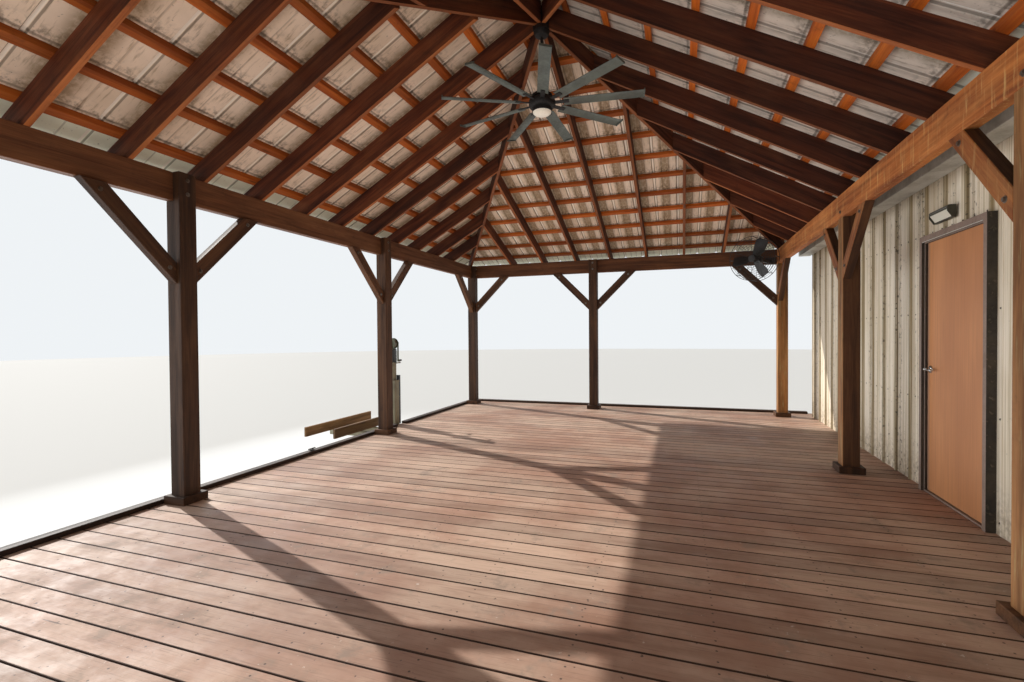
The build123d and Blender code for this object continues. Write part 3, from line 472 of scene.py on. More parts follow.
# A piece of the scene. With an angle, its flatter edges are shown smooth.
def piece(name, bm, finishes, stands_for=(), slot=None, body="root", smooth=None):
    mesh = bpy.data.meshes.new(name)
    if smooth:
        for edge in bm.edges:
            wide = len(edge.link_faces) != 2 or edge.calc_face_angle(0) > math.radians(smooth)
            edge.smooth = not wide
        for face in bm.faces:
            face.smooth = True
    bm.to_mesh(mesh)
    bm.free()
    made = added(name, mesh)
    for finish in finishes:
        mesh.materials.append(FINISHES[finish])
    slot = slot or finishes[0]
    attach(made, body)
    if stands_for:
        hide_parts(*stands_for)
    return made


def rotated(degrees, axis):
    return Matrix.Rotation(math.radians(degrees), 4, axis)


def face_out(bm):
    bmesh.ops.recalc_face_normals(bm, faces=bm.faces)


def moved(bm, matrix):
    bmesh.ops.transform(bm, matrix=matrix, verts=bm.verts)


# Gives every board its own grain: lengths along its longest edge, across its
# widest face, and a tone
def give_grain(bm, seed):
    dice = random.Random(seed)
    board = bm.verts.layers.float_vector.new("board")
    tone = bm.verts.layers.float.new("tone")
    for group in loose_groups(bm):
        edges = dict.fromkeys(edge for vert in group for edge in vert.link_edges)
        faces = dict.fromkeys(face for vert in group for face in vert.link_faces)
        longest = max(edges, key=lambda edge: edge.calc_length())
        widest = max(faces, key=lambda face: face.calc_area())
        first = (longest.verts[1].co - longest.verts[0].co).normalized()
        third = widest.normal.normalized()
        third = (third - first * third.dot(first)).normalized()
        second = third.cross(first)
        shift = Vector((dice.uniform(0, 40), dice.uniform(0, 9), dice.uniform(0, 9)))
        shade = dice.random()
        for vert in group:
            place = vert.co
            vert[board] = shift + Vector((place.dot(first), place.dot(second), place.dot(third)))
            vert[tone] = shade


def soften(bm, width, segments=1, angle=0.35):
    edges = [e for e in bm.edges if len(e.link_faces) == 2 and e.calc_face_angle(0) > angle]
    bmesh.ops.bevel(
        bm,
        geom=edges,
        offset=width,
        offset_type="OFFSET",
        affect="EDGES",
        segments=segments,
        profile=0.5,
        material=-1,
        clamp_overlap=True,
    )


def boards(seed, node, finish, width, second=None, takes_second=None, slot=None):
    bm = copy_of(node)
    soften(bm, width)
    give_grain(bm, seed)
    finishes = [finish]
    if second:
        finishes.append(second)
        for face in bm.faces:
            face.material_index = int(takes_second(face))
    piece(node + "_boards", bm, finishes, [node], slot)


def looks_down(face):
    return face.normal.z < -0.6


def on_shed_side(face):
    return face.calc_center_median().x > SHED_ROW_X


# Shed side brace faces turned to the light, which take the lightened beam stain as painted light
def lit_brace_face(face):
    return on_shed_side(face) and face.normal.x < -0.5


# Shed side post faces turned to the light, and the end posts there, which take the lighter stain: painted
# light with some real weathering
def lit_weathered_post_face(face):
    return on_shed_side(face) and (face.normal.x < -0.5 or abs(face.calc_center_median().y) > 3.0)


def add_box(bm, low, high):
    low, high = Vector(low), Vector(high)
    size = high - low
    shape = Matrix.Translation((low + high) / 2) @ Matrix.Diagonal((*size, 1.0))
    return bmesh.ops.create_cube(bm, size=1.0, matrix=shape)["verts"]


def paint(node, finish):
    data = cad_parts[node].data
    data.materials.clear()
    data.materials.append(FINISHES[finish])


# Node, finish and rounding, then a second finish, the faces it takes and the slot
for seed, row in enumerate((
    ("posts", "post_stain", 0.004, "sunned_stain", lit_weathered_post_face),
    ("post_collars", "post_stain", 0.003),
    # Each side beam takes its lightened copy, painted light
    ("side_beams", "left_beam_stain", 0.004, "right_beam_stain", on_shed_side, "beam_stain"),
    ("end_beams", "beam_stain", 0.004),
    ("knee_braces", "brace_stain", 0.004, "right_beam_stain", lit_brace_face),
    # Rafter undersides lighter, as painted light from below
    ("rafters", "rafter_stain", 0.002, "rafter_edge", looks_down),
    ("hip_rafters", "rafter_stain", 0.002, "rafter_edge", looks_down),
    ("roof_hub", "hub_stain", 0.003, None, None, "rafter_stain"),
    ("purlins", "purlin_wood", 0.002),
    ("fascia_boards", "fascia_stain", 0.003),
    ("deck_curb", "curb_stain", 0.005),
    ("rim_boards", "framing_timber", 0.003),
    ("floor_joists", "framing_timber", 0.002),
    ("girders", "framing_timber", 0.003),
    ("lift_bunks", "bunk_wood", 0.003),
    ("piles", "weathered_pile", 0.002),
), start=11):
    boards(seed, *row)


def rod(bm, place, sides, radius, length, taper=1.0):
    bmesh.ops.create_cone(
        bm, cap_ends=True, segments=sides, radius1=radius, radius2=radius * taper, depth=length, matrix=place
    )


# Screws and bolts: a washer and a six-sided head, laid on a face
def screw(bm, place):
    for height, radius, thick in ((0.0008, 0.008, 0.0016), (0.0034, 0.0048, 0.0036)):
        rod(bm, place @ Matrix.Translation((0, 0, height)), 6, radius, thick)


def bolt(bm, place):
    for sides, height, radius, thick in ((14, 0.001, 0.019, 0.003), (6, 0.0065, 0.0125, 0.009)):
        rod(bm, place @ Matrix.Translation((0, 0, height)), sides, radius, thick, 0.94)


def drawn_verts(step):
    return [made for made in step["geom"] if isinstance(made, bmesh.types.BMVert)]


def facing_out(place, outward):
    return Matrix.Translation(place) @ Vector(outward).to_track_quat("Z", "Y").to_matrix().to_4x4()


# Deck planks with rounded edges: one length under the roof, one in the shed
def deck_planks():
    dice = random.Random(5)
    bm = bmesh.new()
    row = math.ceil((deck_low.y - PLANK_JOINT_Y) / PLANK_PITCH) - 1
    while True:
        low = PLANK_JOINT_Y + row * PLANK_PITCH + PLANK_GAP / 2
        high = low + PLANK_PITCH - PLANK_GAP
        row += 1
        low, high = max(low, deck_low.y), min(high, deck_high.y)
        if low >= deck_high.y:
            break
        if high - low < 0.02:
            continue
        ends = [deck_low.x, wall_low.x + 0.05, deck_high.x]
        for start, stop in zip(ends, ends[1:]):
            drop = dice.uniform(0.0, 0.0012)
            add_box(
                bm, (start + 0.0015, low, DECK_TOP - PLANK_T), (stop - 0.0015, high, DECK_TOP - drop)
            )
    soften(bm, 0.004, 2)
    # The sides and rounded edges take the darker stain, painted shade of the gaps
    for face in bm.faces:
        face.material_index = int(abs(face.normal.z) < 0.97)
    give_grain(bm, 3)
    piece("deck_planks", bm, ["deck_stain", "plank_edge_gap_shade"], ["deck_boards"])


deck_planks()


# One ribbed sheet is a profile of a few points drawn once, set side by side
# and drawn out along the ribs: points are across the sheet and up its ribs
MAJOR = ((0.0, 0.0), (0.014, RIB_H), (0.034, RIB_H), (0.048, 0.0))
MINOR = ((0.0, 0.0), (0.006, 0.004), (0.016, 0.004), (0.022, 0.0))


def rib_at(start, rib):
    return [(x + start, h) for x, h in rib]


WALL_MODULE = rib_at(0.0, MAJOR) + rib_at(0.126, MINOR) + rib_at(0.218, MINOR) + [(RIB_PITCH, 0.0)]


def ribbed(length, width, start, module, pitch, first_purlin=0.0, purlin_step=1.0):
    bm = bmesh.new()
    sheet = bm.verts.layers.float_vector.new("sheet")
    count = math.ceil((width - start) / pitch) + 1
    profile = [bm.verts.new((x + start - pitch, 0.0, h)) for x, h in module]
    for one, two in zip(profile, profile[1:]):
        bm.edges.new((one, two))
    base = list(bm.verts) + list(bm.edges)
    for index in range(1, count + 1):
        copy = bmesh.ops.duplicate(bm, geom=base)
        bmesh.ops.translate(bm, verts=drawn_verts(copy), vec=(index * pitch, 0, 0))
    bmesh.ops.remove_doubles(bm, verts=bm.verts, dist=0.0001)
    drawn = bmesh.ops.extrude_edge_only(bm, edges=list(bm.edges))
    bmesh.ops.translate(bm, verts=drawn_verts(drawn), vec=(0, length, 0))
    for vert in bm.verts:
        across = (vert.co.x - start) / pitch
        vert[sheet] = (across, (vert.co.y - first_purlin) / purlin_step, vert.co.z / RIB_H)
    trim(bm, (0, 0, 0), (-1, 0, 0))
    trim(bm, (width, 0, 0), (1, 0, 0))
    return bm


def trim(bm, point, outward):
    bmesh.ops.bisect_plane(
        bm,
        geom=list(bm.verts) + list(bm.edges) + list(bm.faces),
        dist=0.00001,
        plane_co=point,
        plane_no=outward,
        clear_outer=True,
    )


def thicken(made, thickness, outer=0):
    wall = made.modifiers.new("sheet", "SOLIDIFY")
    wall.thickness = thickness
    wall.offset = 0.0
    wall.material_offset = outer


def lay_sheet(across, along, outward, corner):
    return Matrix.Translation(corner) @ Matrix((across, along, outward)).transposed().to_4x4()


def slope_plane(node):
    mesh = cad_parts[node].data
    widest = max((p for p in mesh.polygons if p.normal.z > 0.5), key=lambda p: p.area)
    return widest.normal.copy(), widest.center.copy()


SIDE_BAY = 0.63
SIDE_MODULE = rib_at(0.0, MAJOR) + rib_at(0.172, MINOR) + rib_at(0.322, MAJOR) + rib_at(0.452, MINOR)
SIDE_MODULE += [(SIDE_BAY, 0.0)]
SIDE_PURLINS = (2.803, 0.366)
END_PURLINS = (4.77, 0.411)
SHEET_SCREW = 0.08


# The pavilion's slopes: each sheet is made flat, its ribs along the slope,
# then leaned to the pitch and trimmed at the hips
def roof_slope(node, turn, start, module, rib_step, purlins):
    normal, point = slope_plane(node)
    flat = rotated(-turn, "Z")
    peak = Vector((PEAK_X, 0.0, 0.0))
    here = flat @ (point - peak)
    lean = flat.to_3x3() @ normal
    pitch = math.atan2(lean.x, lean.z)
    corners = [flat @ (Vector(v.co) - peak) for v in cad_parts[node].data.vertices]
    far = max(c.x for c in corners)
    half = max(abs(c.y) for c in corners)
    top = here.z + here.x * math.tan(pitch)
    steep = math.cos(pitch)
    length = far / steep
    first = (half + start) % rib_step
    bm = ribbed(length, 2 * half, first, module, rib_step, purlins[0] / steep, purlins[1] / steep)
    bmesh.ops.translate(bm, verts=bm.verts, vec=(-half, 0, 0))
    across = Vector((0, 1, 0))
    down = Vector((steep, 0, -math.sin(pitch)))
    up = Vector((math.sin(pitch), 0, steep))
    base = Vector((0, 0, top)) - up * (SLOPE_T - SHEET_T / 2)
    moved(bm, lay_sheet(across, down, up, base))
    bmesh.ops.reverse_faces(bm, faces=bm.faces)
    ratio = half_ratio(corners)
    for side in (-1, 1):
        trim(bm, (0.004, 0, 0), (-ratio, side, 0))
    trim(bm, (far - 0.001, 0, 0), (1, 0, 0))
    back = Matrix.Translation(peak) @ rotated(turn, "Z")
    moved(bm, back)
    # The right slope's underside takes the greyer copy, painted light from the open left side
    underside = "right_roof_metal_lit_copy" if node == "roof_sheet_right" else "roof_metal"
    made = piece(node + "_ribbed", bm, [underside, "roof_outside"], [node], "roof_metal")
    thicken(made, SHEET_T, 1)
    screws = bmesh.new()
    run = purlins[0]
    while run > 0.4:
        spot = -half + first - rib_step
        while spot < half:
            spot += rib_step / 2 if module is SIDE_MODULE else rib_step
            if abs(spot + SHEET_SCREW) < ratio * run - 0.12:
                head = base + across * (spot + SHEET_SCREW) + down * (run / steep) + up * 0.004
                screw(screws, lay_sheet(across, down, up, head))
        run -= purlins[1]
    moved(screws, back)
    piece(node + "_screws", screws, ["screw_steel"], slot="roof_metal")


# How far a slope widens for each metre down it, from the frame's own hips
def half_ratio(corners):
    return max(abs(c.y) / c.x for c in corners if c.x > 1.0)


roof_slope("roof_sheet_right", 0, 0.56, SIDE_MODULE, SIDE_BAY, SIDE_PURLINS)
roof_slope("roof_sheet_far", 90, 0.06, WALL_MODULE, RIB_PITCH, END_PURLINS)
roof_slope("roof_sheet_left", 180, 0.148, SIDE_MODULE, SIDE_BAY, SIDE_PURLINS)
roof_slope("roof_sheet_near", 270, 0.12, WALL_MODULE, RIB_PITCH, END_PURLINS)


# Siding stands on the faces of the shed's walls: a wall is its framing, a
# little thinner than the solid, behind a ribbed sheet
def wall(node, face, across, width, corner, start, height, cuts=()):
    outward = Vector(face[1])
    bm = copy_of(node)
    trim(bm, Vector(face[0]) - outward * (RIB_H + 0.002), outward)
    bmesh.ops.holes_fill(bm, edges=[e for e in bm.edges if e.is_boundary])
    give_grain(bm, 31)
    piece(node + "_framing", bm, ["wall_board"], [node], "siding")
    sheet = ribbed(height, width, start, WALL_MODULE, RIB_PITCH)
    back = Vector(corner) - outward * (RIB_H + SHEET_T / 2)
    moved(sheet, lay_sheet(Vector(across), Vector((0, 0, 1)), outward, back))
    for point, away in cuts:
        trim(sheet, point, away)
    thicken(piece(node + "_siding", sheet, ["siding"]), SHEET_T)


def rib_start(corner):
    return (SIDING_RIB_Y - corner) % RIB_PITCH


shed_left, shed_right = wall_low.x, outer_high.x
shed_mid = (shed_left + shed_right) / 2
for node, wall_x, out in (
    ("shed_wall_near_door", shed_left, -1),
    ("shed_wall_past_door", shed_left, -1),
    ("shed_wall_over_door", shed_left, -1),
    ("shed_wall_outer", shed_right, 1),
):
    low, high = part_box(node)
    corner = (wall_x, low.y, low.z)
    face = ((wall_x, 0, 0), (out, 0, 0))
    wall(node, face, (0, 1, 0), high.y - low.y, corner, rib_start(low.y), WALL_TOP - low.z)
for node, end in (("shed_gable_far", 1), ("shed_gable_near", -1)):
    low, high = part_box(node)
    face_y = high.y if end > 0 else low.y
    slopes = (
        ((shed_left, 0, WALL_TOP), (-SHED_PITCH, 0, 1)),
        ((shed_right, 0, WALL_TOP), (SHED_PITCH, 0, 1)),
    )
    wall(
        node,
        ((0, face_y, 0), (0, end, 0)),
        (1, 0, 0),
        shed_right - shed_left,
        (shed_left, face_y, DECK_TOP),
        GABLE_RIB_X,
        GABLE_RISE + WALL_TOP - DECK_TOP,
        slopes,
    )


# Shed roof: the same ribbed sheets, their ribs down the slope
def shed_slope(name, side):
    low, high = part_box("shed_roof")
    width = high.y - low.y
    run = (high.x - low.x) / 2
    pitch = math.atan(SHED_PITCH)
    bm = ribbed(run / math.cos(pitch), width, SHED_ROOF_RIB_Y, WALL_MODULE, RIB_PITCH)
    ridge = Vector((shed_mid, low.y, WALL_TOP + (shed_mid - shed_left) * SHED_PITCH + 0.004))
    down = Vector((side * math.cos(pitch), 0, -math.sin(pitch)))
    up = Vector((side * math.sin(pitch), 0, math.cos(pitch)))
    moved(bm, lay_sheet(Vector((0, 1, 0)), down, up, ridge))
    trim(bm, (shed_mid, 0, 0), (-side, 0, 0))
    thicken(piece("shed_roofing_" + name, bm, ["roof_outside"], ["shed_roof"], "roof_metal"), SHEET_T)


shed_slope("left", -1)
shed_slope("right", 1)

for node in ("roof_caps", "shed_ridge_cap"):
    paint(node, "cap_metal")
paint("door_leaf", "door_paint")
paint("drum_fan_arm", "drum_black")


# Bolts through the knee braces and the posts, into the beams
POST_BOLTS_Z = (3.475, 3.59)


def frame_bolts():
    bm = bmesh.new()
    for node, rises in (("knee_braces", ()), ("posts", POST_BOLTS_Z)):
        source = copy_of(node)
        for group in loose_groups(source):
            low, high = group_box(group)
            middle = (low + high) / 2
            if node == "knee_braces":
                along = (high - low).y > (high - low).x
                for end in (0, 1):
                    hit = [v.co for v in group if (v.co.z > middle.z) == bool(end)]
                    spot = sum(hit, Vector()) / len(hit)
                    spot += (middle - spot).normalized() * BOLT_INSET
                    for side in (-1, 1):
                        if along:
                            reach = high.x if side > 0 else low.x
                            bolt(bm, facing_out((reach, spot.y, spot.z), (side, 0, 0)))
                        else:
                            reach = high.y if side > 0 else low.y
                            bolt(bm, facing_out((spot.x, reach, spot.z), (0, side, 0)))
            for rise in rises:
                if rise > high.z - 0.03:
                    continue
                lake_side = low.x < LAKE_ROW_X
                if lake_side or high.x > SHED_ROW_X:
                    out = (1, 0, 0) if lake_side else (-1, 0, 0)
                    spot = (high.x if lake_side else low.x, middle.y, rise)
                else:
                    out = (0, -1, 0) if middle.y > 0 else (0, 1, 0)
                    spot = (middle.x, low.y if middle.y > 0 else high.y, rise)
                bolt(bm, facing_out(spot, out))
        source.free()
    piece("frame_bolts", bm, ["bolt_steel"], slot="beam_stain")


frame_bolts()


# Screws of the siding, in rows at the girts
GIRTS = (0.985, 1.69, 2.44, 3.13, 3.64)
GABLE_GIRTS = (*GIRTS, 3.95)
DOOR_HEAD_Z = 3.12


def siding_screws():
    bm = bmesh.new()
    for wall_x, out in ((shed_left, -1), (shed_right, 1)):
        spot = wall_low.y + rib_start(wall_low.y) - RIB_PITCH + SCREW_OFF_RIB
        while spot < past_high.y - 0.02:
            spot += RIB_PITCH / 2
            if not wall_low.y + 0.02 < spot < past_high.y - 0.02:
                continue
            for rise in GIRTS:
                in_door = out < 0 and frame_low.y - 0.02 < spot < frame_high.y + 0.02 and rise < DOOR_HEAD_Z
                if not in_door:
                    place = (wall_x + out * (0.0008 - RIB_H), spot, rise)
                    screw(bm, facing_out(place, (out, 0, 0)))
    for wall_y, out in ((wall_low.y, -1), (past_high.y, 1)):
        spot = shed_left + GABLE_RIB_X + SCREW_OFF_RIB
        while spot < shed_right - 0.03:
            for rise in GABLE_GIRTS:
                top = WALL_TOP + (shed_mid - shed_left - abs(spot - shed_mid)) * SHED_PITCH
                if rise < top - 0.03:
                    place = (spot, wall_y + out * (0.0008 - RIB_H), rise)
                    screw(bm, facing_out(place, (0, out, 0)))
            spot += RIB_PITCH / 2
    piece("siding_screws", bm, ["screw_steel"], slot="siding")


siding_screws()


# Gutters: the trough with a rolled front edge and straps across
GUTTER_REACH = 0.163
STRAP_STEP = 0.875


def gutters():
    bm = copy_of("gutters")
    soften(bm, 0.003)
    low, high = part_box("gutters")
    for wall_x, out in ((shed_left, -1), (shed_right, 1)):
        lip = wall_x + out * GUTTER_REACH
        wire_bar(bm, (lip, low.y, high.z - 0.007), (lip, high.y, high.z - 0.007), 0.014, 10)
        spot = low.y + 0.3
        while spot < high.y - 0.2:
            ends = sorted((wall_x + out * 0.002, lip))
            add_box(bm, (ends[0], spot - 0.013, high.z - 0.006), (ends[1], spot + 0.013, high.z - 0.003))
            spot += STRAP_STEP
    face_out(bm)
    piece("gutter_runs", bm, ["gutter_metal"], ["gutters"])


# The door's frame: edges rounded over, painted shade with some mildew on the faces
# turned to the near side and down, and a pale gasket over the leaf
def takes_painted_shade(face):
    return face.normal.y < -0.5 or face.normal.z < -0.5


def door_surround():
    bm = copy_of("door_frame")
    soften(bm, 0.0015)
    for face in bm.faces:
        face.material_index = int(takes_painted_shade(face))
    piece("door_surround", bm, ["frame_paint", "shade_and_mildew_paint"], ["door_frame"])
    strip = bmesh.new()
    add_box(
        strip,
        (frame_low.x - 0.0006, leaf_low.y + 0.002, leaf_high.z - 0.001),
        (frame_low.x + 0.004, leaf_high.y - 0.002, leaf_high.z + 0.005),
    )
    soften(strip, 0.001)
    piece("door_gasket", strip, ["gasket"], slot="frame_paint")


# Lever handles, one each side of the leaf, on round roses
def lever_handles():
    low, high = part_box("door_handles")
    rose = Vector((0, high.y - 0.032, (low.z + high.z) / 2))
    bm = bmesh.new()
    for face_x, out in ((leaf_low.x, -1), (leaf_high.x, 1)):
        base = facing_out((face_x, rose.y, rose.z), (out, 0, 0))
        outline = [(0.0, 0.0), (0.032, 0.0), (0.032, 0.004), (0.029, 0.008), (0.017, 0.011), (0.0115, 0.014)]
        outline += [(0.0105, 0.04), (0.0, 0.04)]
        merge_into(bm, turned_piece(outline, base, 28))
        reach = face_x + out * 0.0475
        path = [(reach, rose.y, rose.z), (reach, rose.y - 0.045, rose.z + 0.001)]
        path += [(reach - out * 0.003, rose.y - 0.09, rose.z - 0.001)]
        path += [(reach - out * 0.008, low.y + 0.009, rose.z - 0.004)]
        for one, two in zip(path, path[1:]):
            wire_bar(bm, one, two, 0.019, 14)
        for spot in path:
            bmesh.ops.create_uvsphere(
                bm, u_segments=14, v_segments=8, radius=0.0096, matrix=Matrix.Translation(spot)
            )
    piece("lever_handles", bm, ["handle_chrome"], ["door_handles"], body="door", smooth=40)


# An outline of (reach out of the wall, height) points, drawn out along the wall
def prism(outline, low_y, high_y, wall_x, base_z):
    bm = bmesh.new()
    verts = [bm.verts.new((wall_x - out, low_y, base_z + rise)) for out, rise in outline]
    face = bm.faces.new(verts)
    drawn = bmesh.ops.extrude_face_region(bm, geom=[face])
    bmesh.ops.translate(bm, verts=drawn_verts(drawn), vec=(0, high_y - low_y, 0))
    face_out(bm)
    return bm


# The lamp over the door: a hood with a thin grey band along its front as a painted
# highlight line, a tall pale lens that slopes back to the wall, a lower lip and two end plates
def door_lamp():
    low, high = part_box("wall_lamp")
    hood = [(0.0, 0.1), (0.047, 0.1), (0.058, 0.092), (0.058, 0.072), (0.051, 0.068), (0.017, 0.015)]
    hood += [(0.022, 0.01), (0.022, 0.001), (0.0, 0.0)]
    plate = [(0.0, 0.0995), (0.047, 0.0995), (0.0575, 0.0915), (0.0575, 0.052)]
    plate += [(0.025, 0.0005), (0.0, 0.0005)]
    glass = [(0.04, 0.072), (0.0535, 0.0675), (0.0195, 0.0125), (0.01, 0.02)]
    bm = prism(hood, low.y + 0.004, high.y - 0.004, high.x, low.z)
    soften(bm, 0.0012)
    for start in (low.y, high.y - 0.005):
        end = prism(plate, start, start + 0.005, high.x, low.z)
        soften(end, 0.001)
        join_into(bm, end)
    # A thin grey strip on the hood's front, a painted highlight line
    band = [(0.057, 0.084), (0.058, 0.084), (0.058, 0.08), (0.057, 0.08)]
    merge_into(bm, prism(band, low.y + 0.006, high.y - 0.006, high.x - 0.0006, low.z), 2)
    merge_into(bm, prism(glass, low.y + 0.012, high.y - 0.012, high.x, low.z), 1)
    piece("door_lamp", bm, ["lamp_bronze", "lamp_lens", "grey_steel"], ["wall_lamp"])


def full_turn(bm, geom, steps):
    bmesh.ops.spin(
        bm,
        geom=geom,
        cent=(0, 0, 0),
        axis=(0, 0, 1),
        dvec=(0, 0, 0),
        angle=math.tau,
        steps=steps,
        use_merge=True,
        use_duplicate=False,
    )


# Turned pieces: an outline of (radius, height) points spun round its axis
def turned_piece(outline, place, steps=32):
    bm = bmesh.new()
    verts = [bm.verts.new((radius, 0.0, height)) for radius, height in outline]
    edges = [bm.edges.new((one, two)) for one, two in zip(verts, verts[1:])]
    full_turn(bm, verts + edges, steps)
    bmesh.ops.remove_doubles(bm, verts=bm.verts, dist=0.00005)
    face_out(bm)
    moved(bm, place)
    for face in bm.faces:
        face.smooth = True
    return bm


def merge_into(bm, other, material=0):
    for face in other.faces:
        face.material_index = material
    join_into(bm, other)


def join_into(bm, other):
    scratch = bpy.data.meshes.new("scratch")
    other.to_mesh(scratch)
    other.free()
    bm.from_mesh(scratch)
    bpy.data.meshes.remove(scratch)


# Ceiling fan: motor and lens are turned, and nine blades hang on irons
fan_low, fan_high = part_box("ceiling_fan_rotor")
FAN_Z = (fan_low.z + fan_high.z) / 2
FAN_TIP = 0.94
mount_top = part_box("ceiling_fan_mount")[1].z
lens_low, lens_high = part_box("ceiling_fan_lamp")


def fan_place(height):
    return Matrix.Translation((PEAK_X, 0.0, height))


def fan_blade():
    bm = bmesh.new()
    root, tip, chord = 0.205, FAN_TIP - 0.004, 0.102
    bmesh.ops.create_grid(bm, x_segments=8, y_segments=6, size=0.5)
    bmesh.ops.scale(bm, vec=(tip - root, chord, 1.0), verts=bm.verts)
    bmesh.ops.translate(bm, vec=((tip + root) / 2, 0, 0), verts=bm.verts)
    for vert in bm.verts:
        share = vert.co.y / (chord / 2)
        vert.co.z += 0.007 * (1 - share * share)
    bmesh.ops.solidify(bm, geom=bm.faces[:], thickness=0.004)
    iron = add_box(bm, (0.1, -0.02, -0.003), (root + 0.05, 0.02, 0.003))
    cap = add_box(bm, (tip - 0.008, -chord / 2 - 0.001, -0.006), (tip + 0.002, chord / 2 + 0.001, 0.012))
    for verts, finish in ((iron, 1), (cap, 0)):
        for vert in verts:
            for face in vert.link_faces:
                face.material_index = finish
    face_out(bm)
    return bm


def ceiling_fan():
    motor = [(0.0303, 0.043), (0.095, 0.043), (0.118, 0.034), (0.125, 0.018), (0.125, -0.02)]
    motor += [(0.116, -0.034), (0.1, -0.043), (0.0303, -0.043), (0.0303, 0.043)]
    bm = turned_piece(motor, fan_place(FAN_Z), 40)
    for face in bm.faces:
        face.material_index = 1
    for index in range(9):
        blade = fan_blade()
        tilt = rotated(-12, "X")
        turn = rotated(-73 + index * 40, "Z")
        moved(blade, fan_place(FAN_Z) @ turn @ tilt)
        join_into(bm, blade)
    finishes = ["blade_metal", "fan_black"]
    piece("fan_blades", bm, finishes, ["ceiling_fan_rotor"], body="ceiling_fan_blades", smooth=35)
    top = mount_top
    canopy = [(0.0, top), (0.074, top), (0.075, top - 0.012), (0.06, top - 0.045), (0.03, top - 0.06)]
    canopy += [(0.0135, top - 0.062), (0.0135, FAN_Z + 0.16), (0.03, FAN_Z + 0.155), (0.034, FAN_Z + 0.11)]
    canopy += [(0.075, FAN_Z + 0.095), (0.098, FAN_Z + 0.075), (0.1, FAN_Z + 0.054)]
    canopy += [(0.03, FAN_Z + 0.053), (0.03, FAN_Z - 0.053), (0.0, FAN_Z - 0.053)]
    stem = turned_piece(canopy, fan_place(0.0), 40)
    piece("fan_stem", stem, ["fan_black"], ["ceiling_fan_mount"], smooth=35)
    low, high = lens_low.z, lens_high.z
    dish = [(0.0, low), (0.04, low + 0.003), (0.07, low + 0.011), (0.085, low + 0.024)]
    dish += [(0.088, low + 0.034), (0.088, high), (0.0, high)]
    glass = turned_piece(dish, fan_place(0.0), 40)
    rim = turned_piece(
        [(0.0885, high), (0.0945, high), (0.0945, low + 0.036), (0.0885, low + 0.032)], fan_place(0.0), 40
    )
    merge_into(glass, rim, 1)
    piece("fan_light", glass, ["fan_lens", "fan_black"], ["ceiling_fan_lamp"], smooth=35)


ceiling_fan()


# Drum fan: wire guards front and back, three blades on a hub
DRUM_CENTRE = Vector((0.535, 4.08, 3.445))
DRUM_DEPTH = 0.19
drum_place = (
    Matrix.Translation(DRUM_CENTRE)
    @ rotated(240, "Z")
    @ rotated(90, "Y")
)


def wire_ring(bm, radius, height, thick, steps=56):
    verts = bmesh.ops.create_circle(bm, segments=6, radius=thick / 2)["verts"]
    turn = Matrix.Translation((radius, 0, height)) @ rotated(90, "X")
    bmesh.ops.transform(bm, matrix=turn, verts=verts)
    edges = list({e for v in verts for e in v.link_edges})
    full_turn(bm, verts + edges, steps)


def wire_bar(bm, start, stop, thick, sides=6):
    start, stop = Vector(start), Vector(stop)
    run = stop - start
    rod(bm, facing_out((start + stop) / 2, run), sides, thick / 2, run.length)


def drum_guard():
    bm = bmesh.new()
    front = DRUM_DEPTH / 2
    for z in (front - 0.006, 0.006 - front):
        for radius in (0.344, 0.312, 0.279, 0.246, 0.213, 0.18, 0.147, 0.114, 0.081):
            wire_ring(bm, radius, z, 0.009 if radius > 0.34 else 0.004)
        for index in range(16):
            turn = math.tau * index / 16
            reach = Vector((math.cos(turn), math.sin(turn), 0))
            wire_bar(bm, reach * 0.05 + Vector((0, 0, z)), reach * 0.344 + Vector((0, 0, z)), 0.005)
    for index in range(8):
        turn = math.tau * index / 8
        reach = Vector((math.cos(turn), math.sin(turn), 0)) * 0.3445
        wire_bar(bm, reach - Vector((0, 0, front - 0.002)), reach + Vector((0, 0, front - 0.002)), 0.01)
    bmesh.ops.remove_doubles(bm, verts=bm.verts, dist=0.00005)
    face_out(bm)
    moved(bm, drum_place)
    motor = [(0.0, front - 0.001), (0.05, front - 0.002), (0.055, front - 0.009), (0.0, front - 0.01)]
    merge_into(bm, turned_piece(motor, drum_place, 32))
    back = -front
    motor = [(0.0, back + 0.009), (0.055, back + 0.009), (0.062, back), (0.07, back - 0.01)]
    motor += [(0.07, back - 0.1), (0.06, back - 0.122), (0.04, back - 0.1295), (0.0, back - 0.1295)]
    merge_into(bm, turned_piece(motor, drum_place, 32))
    shaft = [(0.0, back), (0.012, back), (0.012, 0.068), (0.0, 0.068)]
    merge_into(bm, turned_piece(shaft, drum_place, 16))
    piece("drum_guard", bm, ["drum_black"], ["drum_fan_cage"], smooth=35)


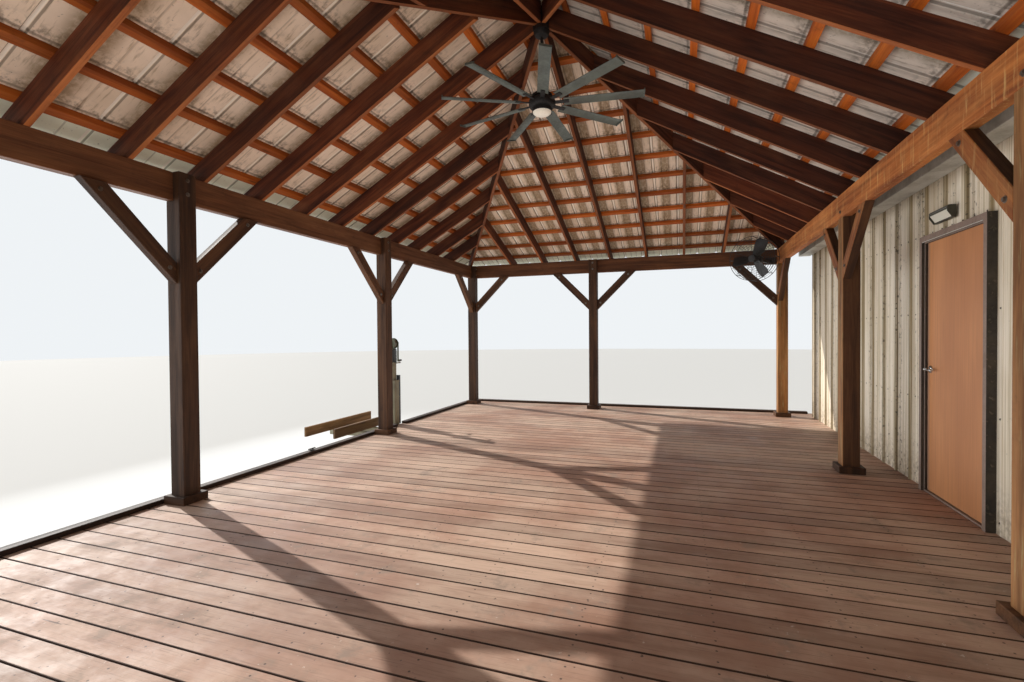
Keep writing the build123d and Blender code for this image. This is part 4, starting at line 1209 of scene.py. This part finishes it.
def drum_blades():
    hub = [(0.0123, -0.068), (0.05, -0.068), (0.055, -0.06)]
    hub += [(0.055, 0.055), (0.046, 0.068), (0.0123, 0.068)]
    bm = turned_piece(hub, Matrix.Identity(4), 32)
    for index in range(3):
        blade = bmesh.new()
        bmesh.ops.create_grid(blade, x_segments=10, y_segments=8, size=0.5)
        bmesh.ops.scale(blade, vec=(0.276, 1.0, 1.0), verts=blade.verts)
        bmesh.ops.translate(blade, vec=(0.186, 0, 0), verts=blade.verts)
        for vert in blade.verts:
            share = (vert.co.x - 0.048) / 0.276
            width = 0.09 + 0.07 * math.sin(min(share * 1.25, 1.0) * math.pi / 2)
            across = vert.co.y
            vert.co.y = across * width + 0.02 * share
            if share > 0.85:
                vert.co.y *= 1.0 - 0.25 * (share - 0.85) / 0.15
            pitch = math.radians(34 - 14 * share)
            lift = vert.co.y * math.tan(pitch)
            vert.co.z = lift + 0.01 * (1 - 4 * across * across)
        bmesh.ops.solidify(blade, geom=blade.faces[:], thickness=0.003)
        turn = rotated(30 + 120 * index, "Z")
        moved(blade, turn)
        merge_into(bm, blade)
    face_out(bm)
    moved(bm, drum_place)
    piece("drum_blades", bm, ["drum_black"], ["drum_fan_rotor"], body="drum_fan_blades", smooth=35)


drum_guard()
drum_blades()
gutters()
door_surround()
lever_handles()
door_lamp()


# The mooring cleat: horns rounded over, on its two-bolt base
def mooring_cleat():
    bm = copy_of("mooring_cleat")
    bmesh.ops.smooth_vert(bm, verts=bm.verts, factor=0.15, use_axis_x=True, use_axis_y=True, use_axis_z=True)
    piece("deck_cleat", bm, ["cleat_iron"], ["mooring_cleat"], smooth=50)


mooring_cleat()


# Boat lift: column with its bands, rail and bolted flange, winch on top
LIFT = Vector((-4.801, 2.12, 0.0))


# A box by its four sides around the lift's axis and its two heights
def lift_box(bm, left, right, near, far, low, high):
    add_box(bm, LIFT + Vector((left, near, low)), LIFT + Vector((right, far, high)))


def lift_column():
    bm = copy_of("lift_column")
    soften(bm, 0.004, 2)
    for low, high, proud in ((1.555, 1.59, 0.003), (1.318, 1.336, 0.003), (1.28, 1.292, 0.002)):
        reach_x, reach_y = 0.08 + proud, 0.06 + proud
        lift_box(bm, -reach_x, reach_x, -reach_y, reach_y, low, high)
    for side_x in (-1, 1):
        for side_y in (-1, 1):
            spot = LIFT + Vector((side_x * 0.078, side_y * 0.078, 1.862))
            bolt(bm, Matrix.Translation(spot))
    piece("lift_column_steel", bm, ["lift_steel"], ["lift_column"], smooth=40)
    rail = bmesh.new()
    for left, right, far in ((0.034, 0.04, 0.1), (0.04, 0.074, 0.0665), (0.074, 0.08, 0.1)):
        lift_box(rail, left, right, 0.0605, far, 0.905, 1.665)
    soften(rail, 0.001)
    piece("lift_rail", rail, ["rail_steel"], slot="lift_steel")


def lift_carriage():
    bm = copy_of("lift_carriage")
    soften(bm, 0.004, 2)
    piece("lift_carriage_steel", bm, ["lift_steel"], ["lift_carriage"], body="cradle", smooth=40)


# The winch: a finned motor under a spool wound with cable, turned by a crank
def lift_winch():
    low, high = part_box("lift_winch")
    axle = Vector((LIFT.x, LIFT.y, high.z - (high.x - low.x) / 2))
    bm = bmesh.new()
    lift_box(bm, -0.052, 0.052, -0.052, 0.052, low.z, axle.z - 0.088)
    soften(bm, 0.012, 3)
    for step in range(8):
        fin = bmesh.new()
        rise = low.z + 0.022 + step * 0.021
        lift_box(fin, -0.0545, 0.0545, -0.0545, 0.0545, rise, rise + 0.007)
        soften(fin, 0.002)
        merge_into(bm, fin)
    box = bmesh.new()
    lift_box(box, -0.05, -0.012, -0.055, -0.045, low.z + 0.02, low.z + 0.15)
    soften(box, 0.003, 2)
    merge_into(bm, box, 1)
    head = bmesh.new()
    for side in (-1, 1):
        cheek = side * 0.05
        lift_box(head, -0.032, 0.032, cheek - 0.004, cheek + 0.004, axle.z - 0.092, axle.z + 0.026)
    lift_box(head, -0.046, 0.046, -0.054, 0.054, axle.z - 0.094, axle.z - 0.086)
    soften(head, 0.003, 2)
    merge_into(bm, head, 2)
    turn = Matrix.Translation(axle) @ rotated(90, "X")
    spool = [(0.012, -0.044), (0.085, -0.044), (0.085, -0.038), (0.045, -0.038)]
    spool += [(0.045, 0.038), (0.085, 0.038), (0.085, 0.044), (0.012, 0.044), (0.012, -0.044)]
    merge_into(bm, turned_piece(spool, turn, 36), 2)
    wound = [(0.046, -0.038)]
    for lap in range(10):
        start = -0.038 + lap * 0.0076
        wound += [(0.0615, start + 0.0008), (0.065, start + 0.0038), (0.0615, start + 0.0068)]
    wound += [(0.046, 0.038)]
    merge_into(bm, turned_piece(wound, turn, 28), 3)
    crank = bmesh.new()
    wire_bar(crank, axle - Vector((0, 0.056, 0)), axle + Vector((0, 0.175, 0)), 0.022, 12)
    wire_bar(crank, axle - Vector((0, 0.062, 0)), axle - Vector((0, 0.056, 0)), 0.04, 6)
    merge_into(bm, crank, 1)
    arm = bmesh.new()
    lift_box(arm, -0.014, 0.014, 0.16, 0.17, axle.z - 0.29, axle.z + 0.02)
    soften(arm, 0.004, 2)
    grip = [(0.0, 0.0), (0.012, 0.0), (0.016, 0.012), (0.016, 0.08), (0.012, 0.092), (0.0, 0.092)]
    grip_place = Matrix.Translation(axle + Vector((0, 0.17, -0.272)))
    merge_into(bm, arm, 2)
    merge_into(bm, turned_piece(grip, grip_place @ rotated(-90, "X"), 18))
    finishes = ["winch_black", "grey_steel", "gear_olive", "cable_steel"]
    piece("lift_winch_works", bm, finishes, ["lift_winch"], smooth=40)


lift_column()
lift_carriage()
lift_winch()


# Floor, light and camera
def pale_floor():
    bm = bmesh.new()
    bmesh.ops.create_circle(bm, cap_ends=True, segments=96, radius=70.0)
    floor = bpy.data.meshes.new("studio_floor")
    bm.to_mesh(floor)
    bm.free()
    made = added("studio_floor", floor)
    made.location.z = -0.002
    cover = bpy.data.materials.new("studio_floor")
    cover.use_nodes = True
    shader = cover.node_tree.nodes["Principled BSDF"]
    shader.inputs["Base Color"].default_value = (0.72, 0.72, 0.71, 1)
    shader.inputs["Roughness"].default_value = 0.9
    floor.materials.append(cover)


pale_floor()

# Even light from the sky, which the camera and the glossy pieces see brighter
world = bpy.data.worlds.new("studio_world")
bpy.context.scene.world = world
world.use_nodes = True
sky = world.node_tree
backdrop = sky.nodes["Background"]
seen = sky.nodes.new("ShaderNodeLightPath")
either = sky.nodes.new("ShaderNodeMath")
either.operation = "MAXIMUM"
level = sky.nodes.new("ShaderNodeMapRange")
level.inputs["To Min"].default_value = 0.32
level.inputs["To Max"].default_value = 0.92
backdrop.inputs["Color"].default_value = (0.94, 0.975, 1.0, 1)
sky.links.new(seen.outputs["Is Camera Ray"], either.inputs[0])
sky.links.new(seen.outputs["Is Glossy Ray"], either.inputs[1])
sky.links.new(either.outputs["Value"], level.inputs["Value"])
sky.links.new(level.outputs["Result"], backdrop.inputs["Strength"])


SUN_ANGLE = 0.7


# A lamp with a size is a soft panel, and one without is the sun
def lamp(name, energy, place, aim, size=None, spread=180, colour=(1, 1, 1)):
    data = bpy.data.lights.new(name, "AREA" if size else "SUN")
    data.energy = energy
    data.color = colour
    made = added(name, data)
    if size:
        data.shape = "RECTANGLE"
        data.size, data.size_y = size
        data.spread = math.radians(spread)
        made.visible_camera = False
    else:
        data.angle = math.radians(SUN_ANGLE)
    made.location = place
    made.rotation_mode = "QUATERNION"
    made.rotation_quaternion = (Vector(aim) - Vector(place)).to_track_quat("-Z", "Y")


lamp("key", 4.1, (-7.77, 3.085, 5.25), (0, 0, 0), colour=(1.0, 0.96, 0.9))
lamp("soft_side", 335, (-10.5, 1.0, 2.6), (1.0, 0.5, 2.6), (12.0, 3.6), 125, colour=(0.95, 0.98, 1.0))
lamp("soft_near", 60, (-1.8, -6.4, 1.6), (-1.8, 0, 3.4), (6.0, 1.6))
lamp("soft_under", 60, (-1.7, 0.0, 0.96), (-1.7, 0, 4.0), (5.2, 8.6))

# The picture's camera: its turn about the upright, its tilt and its roll
PICTURE_W = 1024
SENSOR_W = 36.0
FOCAL_PIXELS = 493.8
EYE = (-0.547, -4.527, 2.291)
HEADING = 18.965
TILT = -0.808
ROLL = -0.443

camera_data = bpy.data.cameras.new("camera")
camera_data.sensor_width = SENSOR_W
camera_data.lens = FOCAL_PIXELS / PICTURE_W * SENSOR_W
camera_data.clip_start = 0.02
camera_data.clip_end = 300.0
camera = added("camera", camera_data)
turned = rotated(HEADING, "Z") @ rotated(90 + TILT, "X") @ rotated(ROLL, "Z")
camera.matrix_world = Matrix.Translation(EYE) @ turned
bpy.context.scene.camera = camera
bpy.context.scene.view_settings.view_transform = "Standard"
